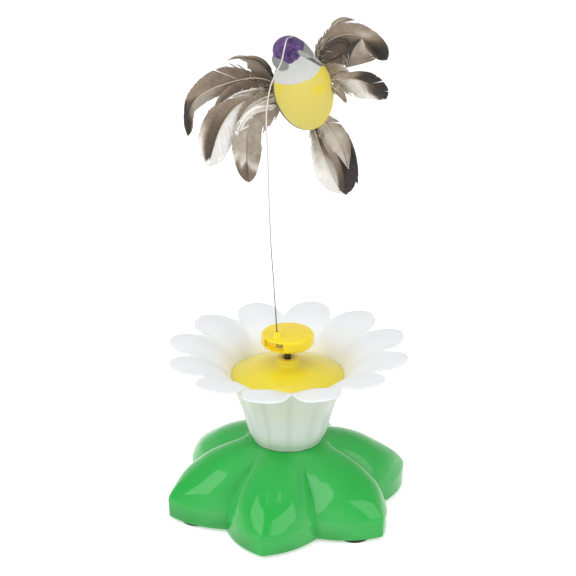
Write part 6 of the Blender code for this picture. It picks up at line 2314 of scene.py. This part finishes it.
@dataclass
class Plumes:
    """The feathers of the wings and the tail: a tapered quill with barbs on both sides of each.

    Args:
        pitch: The spacing of the barbs on the quill, in metres.
        barb_w: How wide a barb is.
        barb_t: How thick it is.
        quill_r: The quill's radius at its root.
        quill_tip_r: The quill's radius at its tip.
        tip_angle: The barbs' angle to the quill at its tip, in radians.
        round_share: Where the rounding of the feather's tip starts.
        shingle: How far each barb is tilted over the next one.
        bow: How far a quill bows towards the viewer, in millimetres.
        down_hairs: How many hairs of down stand at each feather's root.
        samples: How many points a quill's route has where barbs are set on it.
        quill_points: How many points a quill's route has, and how many of them its shaft keeps.
        quill_lift: How far the shaft stands towards the viewer, in metres.
        halvings: How often the search for a barb's length halves its range.
        down_lift: How far the down stands towards the viewer, in metres.
        down_size: The width and the thickness of a hair of down, in metres.
        down_reach: How long such hairs are, in metres.
        lean_swing: How far the barbs' angle swings along the quill, with no rag and for each 1 of it.
        lean_wave: How fast it swings, in radians for each barb.
        reach_wave: How fast a ragged edge swings.
        root_share: Up to where on the quill the barbs' lengths are random.
        root_reach: The range of that.
        ruffle: How far a barb's length is random, with no rag and for each 1 of it.
        spread: The same for its turn.
        sweep: How far a barb's end sweeps towards the feather's tip, in barb widths.
        droop: How far a barb's end droops, in barb thicknesses.
        rings: A barb's sections, as shares of its length and its width.
    """

    pitch: float = 0.00042
    barb_w: float = 0.00082
    barb_t: float = 0.00012
    quill_r: float = 0.00042
    quill_tip_r: float = 0.00012
    tip_angle: float = math.radians(30)
    round_share: float = 0.88
    shingle: float = math.radians(14)
    bow: float = 0.8
    down_hairs: int = 16
    samples: int = 160
    quill_points: tuple[int, int] = (64, 60)
    quill_lift: float = 0.00012
    halvings: int = 18
    down_lift: float = 0.0006
    down_size: tuple[float, float] = (0.00016, 0.0001)
    down_reach: tuple[float, float] = (0.002, 0.0055)
    lean_swing: tuple[float, float] = (0.008, 0.08)
    lean_wave: float = 0.37
    reach_wave: float = 0.83
    root_share: float = 0.2
    root_reach: tuple[float, float] = (0.7, 1.1)
    ruffle: tuple[float, float] = (0.01, 0.12)
    spread: tuple[float, float] = (0.008, 0.05)
    sweep: float = 0.9
    droop: float = 3.2
    rings: tuple[Row, ...] = ((0.0, 1.0), (0.25, 1.0), (0.5, 1.0), (0.75, 0.95), (0.92, 0.8), (1.0, 0.45))

    def barb(self, name: str, way: float) -> bpy.types.Object:
        """One barb, a unit long, that sweeps towards the feather's tip and droops away from the viewer.

        Args:
            name: Its name.
            way: 1 where its front is +Z, -1 where it is -Z.

        Returns:
            The barb.
        """
        points, out = [], []
        for x, wide in self.rings:
            y = self.sweep * x * x
            z = -way * self.droop * x * x
            for side, up in ((-0.5, 0.0), (0.0, 0.5), (0.5, 0.0), (0.0, -0.5)):
                points.append((x, y + side * wide, z + up * (1.2 - x)))
                out.append(x)
        faces = grid_faces(len(self.rings), 4, closed=True)
        faces += [(3, 2, 1, 0), tuple(range(len(points) - 4, len(points)))]
        mesh = make_mesh(name, points, faces)
        write_marks(mesh, out=out)
        face_outwards(mesh)
        return add_object(name, mesh)

    def table(self, rows: Sequence[Row], share: float) -> np.ndarray:
        """Read a table of rows at a share of the length.

        Args:
            rows: The rows, with the share first.
            share: Where to read it.

        Returns:
            The row's other numbers.
        """
        given = np.asarray(rows)
        return np.array([np.interp(share, given[:, 0], given[:, i]) for i in range(1, given.shape[1])])

    def barb_reach(self, feather: Feather, share: float, column: int, angle: float, length: float) -> float:
        """How long a barb is when it ends on the feather's outline.

        Args:
            feather: The feather.
            share: Where the barb starts.
            column: 0 on the left of the quill, 1 on the right.
            angle: Its angle to the quill.
            length: The quill's length in metres.

        Returns:
            The length in metres.
        """
        low, high = 0.0, length
        for _ in range(self.halvings):
            reach = (low + high) / 2
            end = share + reach * math.cos(angle) / length
            past = max(0.0, end - self.round_share) / (1 - self.round_share)
            wide = self.table(feather.widths, min(1.0, end))[column] * MM
            wide *= math.sqrt(max(0.0, 1 - past * past))
            if wide > reach * math.sin(angle):
                low = reach
            else:
                high = reach
        return low

    def turned(self, along: Vector, towards: Vector) -> Matrix:
        """The turn of a barb, from the way that it runs and the way square to it in the feather's plane."""
        return Matrix((along, towards, along.cross(towards))).transposed()

    def guides(self, feather: Feather) -> Guides:
        """Work out where each barb of a feather starts, how it is turned, and how long it is.

        Args:
            feather: The feather.

        Returns:
            The points, with the numbers that each of them carries.
        """
        last = self.samples - 1
        swing = self.lean_swing[0] + self.lean_swing[1] * feather.rag
        route = even_route(feather.route, self.samples) * MM
        route[:, 1] -= self.bow * MM * np.sin(np.linspace(0, math.pi, len(route)))
        length = float(np.sum(np.linalg.norm(np.diff(route, axis=0), axis=1)))
        count = max(8, int(length / self.pitch))
        found = Guides()
        chance = np.random.default_rng(count)
        for number in range(2 * count):
            share = (number // 2 + 0.5 * (number % 2)) / count
            left = number % 2 == 0
            side = 1 if left else -1
            if any(slit[0] == side and slit[1] < share < slit[2] for slit in feather.slits):
                continue
            spots = range(self.samples)
            place = [np.interp(share * last, spots, route[:, axis]) for axis in range(3)]
            index = min(last - 2, int(share * last))
            way = Vector(route[index + 2] - route[index]).normalized()
            across = FRONT.cross(way).normalized() * side
            angle = math.radians(feather.angle)
            angle += (self.tip_angle - angle) * share**2
            angle += swing * math.sin(number * self.lean_wave + side)
            reach = self.barb_reach(feather, share, 0 if left else 1, angle, length)
            reach *= 1 - feather.rag * (0.5 + 0.5 * math.sin(number * self.reach_wave)) * share**2
            if share < self.root_share:
                reach *= float(chance.uniform(*self.root_reach))
            along = (way * math.cos(angle) + across * math.sin(angle)).normalized()
            turn = self.turned(along, (way - along * way.dot(along)).normalized())
            turn = turn @ Matrix.Rotation(self.shingle * side, 3, "X")
            tones = self.table(feather.tones, share)
            found.add(
                place,
                turn=tuple(turn.to_euler("XYZ")),
                reach=(reach, self.barb_w, self.barb_t),
                side=-side,
                tone=tones[0 if left else 2],
                tip_tone=tones[1 if left else 3],
            )
        return found

    def quill(self, feather: Feather, material: bpy.types.Material) -> bpy.types.Object:
        """The tapered shaft of a feather.

        Args:
            feather: The feather.
            material: Its finish.

        Returns:
            The shaft.
        """
        whole, kept = self.quill_points
        route = even_route(feather.route, whole)[:kept] * MM
        shares = np.arange(kept) / (whole - 1)
        route[:, 1] -= self.bow * MM * np.sin(math.pi * shares) + self.quill_lift
        radii = self.quill_r + (self.quill_tip_r - self.quill_r) * shares
        mesh = tube_mesh(feather.node + "_quill", route, radii, 8, 0.8)
        length = (Vector(route[-1]) - Vector(route[0])).length
        lengths = [(v.co - Vector(route[0])).length / length for v in mesh.vertices]
        horn = feather.horn
        write_marks(mesh, tone=[horn + (1 - horn) * min(1.0, share) ** 4 for share in lengths])
        return add_object(feather.node + "_quill", mesh, material)

    def down(self) -> Guides:
        """Loose hairs of down at the root of every feather.

        Returns:
            The points, with the numbers that each of them carries.
        """
        chance = np.random.default_rng(11)
        found = Guides()
        for feather in FEATHERS:
            route = even_route(feather.route, 40) * MM
            for _ in range(self.down_hairs):
                index = int(chance.integers(1, 9))
                way = Vector(route[index + 1] - route[index]).normalized()
                lean = Vector(chance.normal(0, 0.55, 3))
                along = (way + lean).normalized()
                turn = self.turned(along, FRONT.cross(along).normalized())
                found.add(
                    route[index] + np.array([0, -self.down_lift, 0]),
                    turn=tuple(turn.to_euler("XYZ")),
                    reach=(chance.uniform(*self.down_reach), *self.down_size),
                    side=1,
                    tone=chance.uniform(0.1, 0.6),
                    tip_tone=chance.uniform(0.05, 0.5),
                )
        return found

    def build(self, shop: Workshop) -> None:
        """Grow every feather and the down, and fit them.

        Args:
            shop: The workshop.
        """
        right, left = self.barb("right_barb", 1), self.barb("left_barb", -1)
        turned = Matrix.Rotation(ROTOR_TURN, 4, "Z")
        inputs = {"Right_Barb": right, "Left_Barb": left, "Material": shop.palette.plumage}
        for number, feather in enumerate(FEATHERS):
            vane = add_object(feather.node + "_barbs", self.guides(feather).mesh(feather.node))
            ruffle, spread = (low + more * feather.rag for low, more in (self.ruffle, self.spread))
            grow(vane, shop.barbs, Ruffle=ruffle, Spread=spread, Seed=number * 17, **inputs)
            settle(vane)
            both = [vane, self.quill(feather, shop.palette.quill)]
            chosen = {"selected_objects": both, "selected_editable_objects": both}
            with bpy.context.temp_override(active_object=vane, object=vane, **chosen):
                bpy.ops.object.join()
            vane.data.transform(turned)
            nodes = [feather.node] if feather.node in shop.frame["nodes"] else []
            shop.fit(vane, Body.LURE, nodes)
        hairs = add_object("down", self.down().mesh("down"))
        grow(hairs, shop.barbs, Ruffle=0.3, Spread=0.5, Seed=5, **inputs)
        settle(hairs, right, left)
        hairs.data.transform(turned)
        shop.fit(hairs, Body.LURE, [])


@dataclass
class FoamBird:
    """The painted foam body, head and beak, in the rotor's frame. Sizes are in millimetres.

    A line is given as places of x and z. A spot or a patch has its middle, its half width and height, and for
    a spot its strength. A dent has its place, its reach and its depth. The cap and the bar end at the two
    depths of front_only.
    """

    body_at: Row = (7.8, 8.5, 222.5)
    body_half: Row = (15.3, 14.0, 20.2)
    lean: Row = (-0.22, -0.10, 1.0)
    taper: float = 0.07
    neck_at: Row = (1.4, 4.0, 240.6)
    neck_half: Row = (9.2, 7.6, 6.4)
    nape_at: Row = (8.6, 5.4, 242.6)
    nape_half: Row = (3.6, 6.0, 9.4)
    nape_lean: Row = (-0.55, 0.0, 0.84)
    voxel: float = 0.45
    head_at: Row = (0.6, 3.0, 245.6)
    head_half: Row = (8.0, 8.2, 7.0)
    beak_at: Row = (3.6, -5.4, 245.6)
    beak_r: float = 2.1
    beak_l: float = 4.2
    facets: int = 11
    facet_depth: float = 0.018
    head_facet_depth: float = 0.01
    smoothings: int = 14
    fill: float = 0.9
    chest_line: tuple[Row, ...] = (
        (-20.0, 229.0),
        (-6.2, 229.0),
        (-1.0, 229.8),
        (4.9, 231.0),
        (12.3, 233.4),
        (16.0, 236.4),
        (24.0, 245.0),
    )
    spots: tuple[Row, ...] = ((15.7, 227.4, 6.5, 4.4, 0.75), (4.6, 219.4, 6.0, 4.2, 0.3))
    cap_line: tuple[Row, ...] = (
        (-20.0, 243.0),
        (-7.6, 242.6),
        (-4.2, 242.4),
        (-1.3, 240.6),
        (2.1, 240.9),
        (4.5, 243.3),
        (7.4, 244.9),
        (20.0, 249.0),
    )
    ash_patches: tuple[Row, ...] = ((-5.0, 239.4, 5.6, 3.6), (11.0, 246.4, 3.4, 4.6))
    bar_from: Row = (6.0, 245.0)
    bar_to: Row = (16.2, 240.2)
    bar_slope: float = 0.451
    bar_half_w: float = 1.25
    front_only: tuple[float, float] = (9.0, 12.0)
    back_way: Row = (-0.30, 0.93, -0.2)
    back_from: float = 0.4
    rim_at: tuple[float, float] = (8.5, 219.5)
    rim_half: tuple[float, float] = (14.5, 17.0)
    rim_most: float = 0.6
    dents: tuple[tuple[Row, float, float], ...] = (
        ((-4.2, -4.0, 243.6), 2.2, 1.1),
        ((4.2, -3.6, 243.4), 2.0, 0.6),
        ((0.2, -4.2, 248.6), 2.6, 0.5),
        ((-6.0, -1.0, 247.5), 2.4, 0.5),
        ((6.5, 0.5, 248.5), 2.6, 0.6),
    )

    def egg(
        self, name: str, at: Row, half: Row, lean: Row, taper: float, columns: int, rings: int, facets: float
    ) -> bpy.types.Mesh:
        """A leaning egg with soft flats up its sides.

        Args:
            name: The mesh's name.
            at: Its middle.
            half: Its half sizes.
            lean: The direction of its long axis.
            taper: How much narrower it is below.
            columns: How many columns it has.
            rings: How many rings it has.
            facets: How deep its flats are, as a share of its radius.

        Returns:
            The mesh, in metres in the rotor's frame.
        """
        turn = Vector((0, 0, 1)).rotation_difference(Vector(lean).normalized()).to_matrix()
        points = []
        for ring in range(rings + 1):
            lift = -math.cos(math.pi * ring / rings)
            wide = math.sin(math.pi * ring / rings)
            narrow = 1 - taper * 0.5 * (1 - lift) * (1 if lift < 0 else 1 - lift)
            for column in range(columns):
                angle = 2 * math.pi * column / columns
                flat = 1 - facets * wide * math.cos(self.facets * angle) ** 2
                x = wide * math.cos(angle) * half[0] * narrow * flat
                y = wide * math.sin(angle) * half[1] * narrow * flat
                points.append((turn @ Vector((x, y, lift * half[2])) + Vector(at)) * MM)
        mesh = make_mesh(name, points, grid_faces(rings + 1, columns, closed=True))
        tidy_mesh(mesh)
        return mesh

    def paint(self, mesh: bpy.types.Mesh) -> None:
        """Write how much of each paint every point of a mesh has.

        Args:
            mesh: The mesh, in metres in the rotor's frame.
        """
        places = np.array([tuple(v.co) for v in mesh.vertices]) / MM
        x, y, z = places.T
        chest, cap = np.asarray(self.chest_line), np.asarray(self.cap_line)

        def share(distance: np.ndarray, soft: float = 1.0) -> np.ndarray:
            """Turn a distance inside an edge into a share, with 0.5 on the edge."""
            return np.clip(0.5 + distance / (2 * soft), 0, 1)

        belly = share(np.interp(x, chest[:, 0], chest[:, 1]) - z)
        capped = share(z - np.interp(x, cap[:, 0], cap[:, 1]))
        ash = np.zeros(len(x))
        for cx, cz, wide, high in self.ash_patches:
            ash = np.maximum(ash, share(4 * (1 - np.hypot((x - cx) / wide, (z - cz) / high))))
        start, end = np.asarray(self.bar_from), np.asarray(self.bar_to)
        along = end - start
        lift = z + self.bar_slope * y
        step = np.clip(((x - start[0]) * along[0] + (lift - start[1]) * along[1]) / along.dot(along), 0, 1)
        away = np.hypot(x - start[0] - step * along[0], lift - start[1] - step * along[1])
        bar = share(self.bar_half_w - away, 0.3)
        across = (lift - start[1]) * along[0] - (x - start[0]) * along[1]
        across /= self.bar_half_w * float(np.hypot(*along))
        away = places - np.asarray(self.body_at)
        back = away @ np.array(self.back_way) + self.back_from
        out = np.hypot((x - self.rim_at[0]) / self.rim_half[0], (z - self.rim_at[1]) / self.rim_half[1])
        rim = np.clip(1.6 * out - 1.0, 0, self.rim_most)
        for cx, cz, wide, high, full in self.spots:
            inside = np.clip(1.5 * (1 - np.hypot((x - cx) / wide, (z - cz) / high)), 0, 1)
            rim = np.maximum(rim, full * inside)
        write_marks(
            mesh,
            belly=belly,
            cap=np.where(y > self.front_only[0], 0.0, capped),
            ash=ash,
            bar=bar * (y < self.front_only[1]),
            bar_across=np.clip(across, -2, 2),
            bar_along=step,
            shade=share(back),
            rim=rim,
        )

    def crease(self, mesh: bpy.types.Mesh) -> None:
        """Press the shallow folds of the foam into the head.

        Args:
            mesh: The head's mesh, in metres in the rotor's frame.
        """
        centre = Vector(self.head_at) * MM
        dents = [(Vector(place) * MM, reach * MM, depth) for place, reach, depth in self.dents]
        for vert in mesh.vertices:
            for place, reach, depth in dents:
                away = (vert.co - place).length / reach
                if away < 1:
                    vert.co += (centre - vert.co).normalized() * depth * MM * (1 - away * away) ** 2

    def build(self, shop: Workshop) -> None:
        """Shape, paint and fit the body, the head and the beak.

        Args:
            shop: The workshop.
        """
        upright = (0.0, 0.0, 1.0)
        flats = self.facet_depth
        body = self.egg("body", self.body_at, self.body_half, self.lean, self.taper, 132, 84, flats)
        head = self.egg("head", self.head_at, self.head_half, upright, 0.0, 144, 96, self.head_facet_depth)
        self.crease(head)
        neck = self.egg("neck", self.neck_at, self.neck_half, upright, 0.0, 64, 40, 0.0)
        pour(body, neck, self.egg("nape", self.nape_at, self.nape_half, self.nape_lean, 0.0, 64, 40, 0.0))
        whole = add_object("bird_body_blend", body)
        modify(whole, "REMESH", mode="VOXEL", voxel_size=self.voxel * MM)
        modify(whole, "SMOOTH", factor=0.5, iterations=self.smoothings)
        body = settle(whole).data.copy()
        bpy.data.objects.remove(whole, do_unlink=True)
        nose = [(0.0, -self.beak_l / 2), (self.beak_r, -self.beak_l / 2)]
        nose += arc_profile((self.beak_r * 0.45, self.beak_l * 0.18), self.beak_r * 0.55, 0, 90, 6)
        nose += [(0.0, self.beak_l * 0.18 + self.beak_r * 0.55)]
        beak = turned_mesh("beak", nose, 40)
        beak.transform(Matrix.Translation(Vector(self.beak_at) * MM) @ Matrix.Rotation(math.pi / 2, 4, "X"))
        pieces = (
            ("bird_body_foam", body, "bird_body", "foam_body"),
            ("bird_head_foam", head, "bird_head", "foam_head"),
            ("bird_beak_foam", beak, "bird_beak", "foam_head"),
        )
        for name, mesh, node, slot in pieces:
            self.paint(mesh)
            mesh.transform(Matrix.Rotation(ROTOR_TURN, 4, "Z"))
            obj = add_object(name, mesh, shop.palette.foam)
            shop.fit(obj, Body.LURE, [node])


WHITE = (1.0, 1.0, 1.0, 1.0)


@dataclass(frozen=True)
class Lamp:
    """A rectangular lamp.

    Args:
        name: Its name.
        at: Its place, in metres.
        size: Its width and height.
        watts: Its power.
    """

    name: str
    at: tuple[float, float, float]
    size: tuple[float, float]
    watts: float


@dataclass
class Studio:
    """The plain white studio, and the camera at the photograph's angle. Sizes in metres and degrees.

    The place of a lamp in lamps is given as the camera sees it: to the right, towards the camera, and up.
    """

    azimuth: float = 11.58
    elevation: float = 24.28
    distance: float = 1.2442
    aim_z: float = 0.100
    lens: float = 152.98
    sensor: float = 36.0
    shift_x: float = 0.000625
    shift_y: float = 0.0666
    floor_half: float = 3.0
    floor_glow: float = 0.48
    cloud_scale: float = 3.0
    world_strength: float = 0.54
    horizon: float = 0.5
    clip: tuple[float, float] = (0.05, 20.0)
    lamps: tuple[Lamp, ...] = (
        Lamp("window_left", (-0.9, 0.62, 1.0), (1.2, 1.3), 9.0),
        Lamp("window_right", (0.95, 0.75, 0.75), (0.95, 1.15), 5.2),
    )
    top_panel: Lamp = Lamp("top_panel", (0.0, 0.1, 1.4), (0.7, 0.7), 2.6)

    def floor_material(self) -> bpy.types.Material:
        """White floor paint that looks white, keeps the toy's shadow and is clear from below.

        Returns:
            The material.
        """
        finish = Finish("studio_floor", {"Specular IOR Level": 0.0, "Roughness": 1.0})
        sheet = finish.sheet
        cloud = sheet.noise(sheet.place(), self.cloud_scale)
        finish.wear(Base_Color=sheet.mix(cloud, rgb(250, 250, 250), rgb(253, 253, 253)))
        end = finish.material.node_tree.nodes["Material Output"]
        paint = finish.shader.outputs["BSDF"]
        glow = sheet.add("ShaderNodeEmission", {"Color": WHITE, "Strength": self.floor_glow})
        both = sheet.add("ShaderNodeAddShader", {0: paint, 1: glow.outputs["Emission"]})
        path = sheet.add("ShaderNodeLightPath").outputs
        seen = sheet.maths("MAXIMUM", path["Is Camera Ray"], path["Is Glossy Ray"])
        above = sheet.add("ShaderNodeMixShader", {"Fac": seen, 1: paint, 2: both.outputs["Shader"]})
        below = sheet.add("ShaderNodeNewGeometry").outputs["Backfacing"]
        clear = sheet.add("ShaderNodeBsdfTransparent").outputs["BSDF"]
        whole = sheet.add("ShaderNodeMixShader", {"Fac": below, 1: above.outputs["Shader"], 2: clear})
        sheet.feed(end.inputs["Surface"], whole.outputs["Shader"])
        return finish.material

    def world(self) -> None:
        """A soft even world that shows as plain white to the camera, and near the horizon in reflections."""
        world = bpy.data.worlds.new("studio")
        world.use_nodes = True
        bpy.context.scene.world = world
        sheet = NodeSheet(world.node_tree)
        soft = world.node_tree.nodes["Background"]
        sheet.feed(soft.inputs["Color"], WHITE)
        sheet.feed(soft.inputs["Strength"], self.world_strength)
        white = sheet.add("ShaderNodeBackground", {"Color": WHITE, "Strength": 1.0}).outputs["Background"]
        path = sheet.add("ShaderNodeLightPath").outputs
        place = sheet.add("ShaderNodeTexCoord").outputs["Generated"]
        height = sheet.add("ShaderNodeSeparateXYZ", {"Vector": place}).outputs["Z"]
        mirrored = sheet.maths("MAXIMUM", path["Is Glossy Ray"], path["Is Transmission Ray"])
        shine = sheet.times(mirrored, sheet.span(height, self.horizon, 0.0))
        seen = sheet.maths("MAXIMUM", path["Is Camera Ray"], shine)
        pick = sheet.add("ShaderNodeMixShader", {"Fac": seen, 1: soft.outputs["Background"], 2: white})
        sheet.feed(world.node_tree.nodes["World Output"].inputs["Surface"], pick.outputs["Shader"])

    def hang(self, lamp: Lamp, at: Sequence[float]) -> None:
        """Add a lamp that faces the toy.

        Args:
            lamp: The lamp.
            at: Its place in the part's frame.
        """
        light = bpy.data.lights.new(lamp.name, "AREA")
        light.shape = "RECTANGLE"
        light.size, light.size_y = lamp.size
        light.energy = lamp.watts
        obj = bpy.data.objects.new(lamp.name, light)
        bpy.context.scene.collection.objects.link(obj)
        obj.location = at
        way = Vector((0, 0, self.aim_z)) - Vector(at)
        obj.rotation_euler = way.to_track_quat("-Z", "Y").to_euler()

    def build(self) -> None:
        """Set the camera, the floor, the world and the lamps."""
        scene = bpy.context.scene
        scene.view_settings.view_transform = "Standard"
        turn, lift = math.radians(self.azimuth), math.radians(self.elevation)
        back = Vector((math.sin(turn) * math.cos(lift), -math.cos(turn) * math.cos(lift), math.sin(lift)))
        camera = bpy.data.cameras.new("camera")
        camera.lens, camera.sensor_width = self.lens, self.sensor
        camera.shift_x, camera.shift_y = self.shift_x, self.shift_y
        camera.clip_start, camera.clip_end = self.clip
        eye = bpy.data.objects.new("camera", camera)
        scene.collection.objects.link(eye)
        eye.location = Vector((0, 0, self.aim_z)) + back * self.distance
        eye.rotation_euler = (-back).to_track_quat("-Z", "Y").to_euler()
        scene.camera = eye
        half = self.floor_half
        corners = [(-half, -half, 0), (half, -half, 0), (half, half, 0), (-half, half, 0)]
        sheet = make_mesh("studio_floor", corners, [(0, 1, 2, 3)])
        add_object("studio_floor", sheet, self.floor_material())
        self.world()
        side = Vector((math.cos(turn), math.sin(turn), 0))
        front = Vector((math.sin(turn), -math.cos(turn), 0))
        for lamp in self.lamps:
            across, near, up = lamp.at
            self.hang(lamp, front * near + side * across + Vector((0, 0, up)))
        self.hang(self.top_panel, self.top_panel.at)


def dress_solids(shop: Workshop) -> None:
    """Finish the solids that stay in view.

    Args:
        shop: The workshop.
    """
    palette = shop.palette
    finishes = {
        "base_green": palette.green,
        "foot_rubber": palette.rubber,
        "cell_sleeve": palette.sleeve,
        "black_plastic": palette.black,
        "petal_white": palette.petal,
        "centre_yellow": palette.centre,
        "rotor_yellow": palette.rotor,
        "brass": palette.brass,
        "gearbox_grey": palette.grey,
        "gear_nylon": palette.nylon,
        "lead_black": palette.lead_black,
        "lead_red": palette.lead_red,
        "foam_body": palette.foam,
        "foam_head": palette.foam,
        "feather": palette.plumage,
        "steel": palette.steel,
    }
    for part in shop.frame["record"]["subparts"]:
        shop.dress(part["node"], finishes[part["material_slot"]])


def main() -> None:
    """Load the frame, light it, finish its solids and build every sub-assembly round it."""
    logging.basicConfig(level=logging.INFO, format="%(name)s: %(message)s")
    for obj in list(bpy.data.objects):
        bpy.data.objects.remove(obj, do_unlink=True)
    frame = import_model()
    shop = Workshop(frame, Palette())
    Studio().build()
    dress_solids(shop)
    below = (StarBase, RubberFeet, FlowerCup, FlowerCentre)
    above = (OutputShaft, RotorDisc, LureWire, FoamBird, Plumes)
    for assembly in below + above:
        assembly().build(shop)


if __name__ == "__main__":
    main()
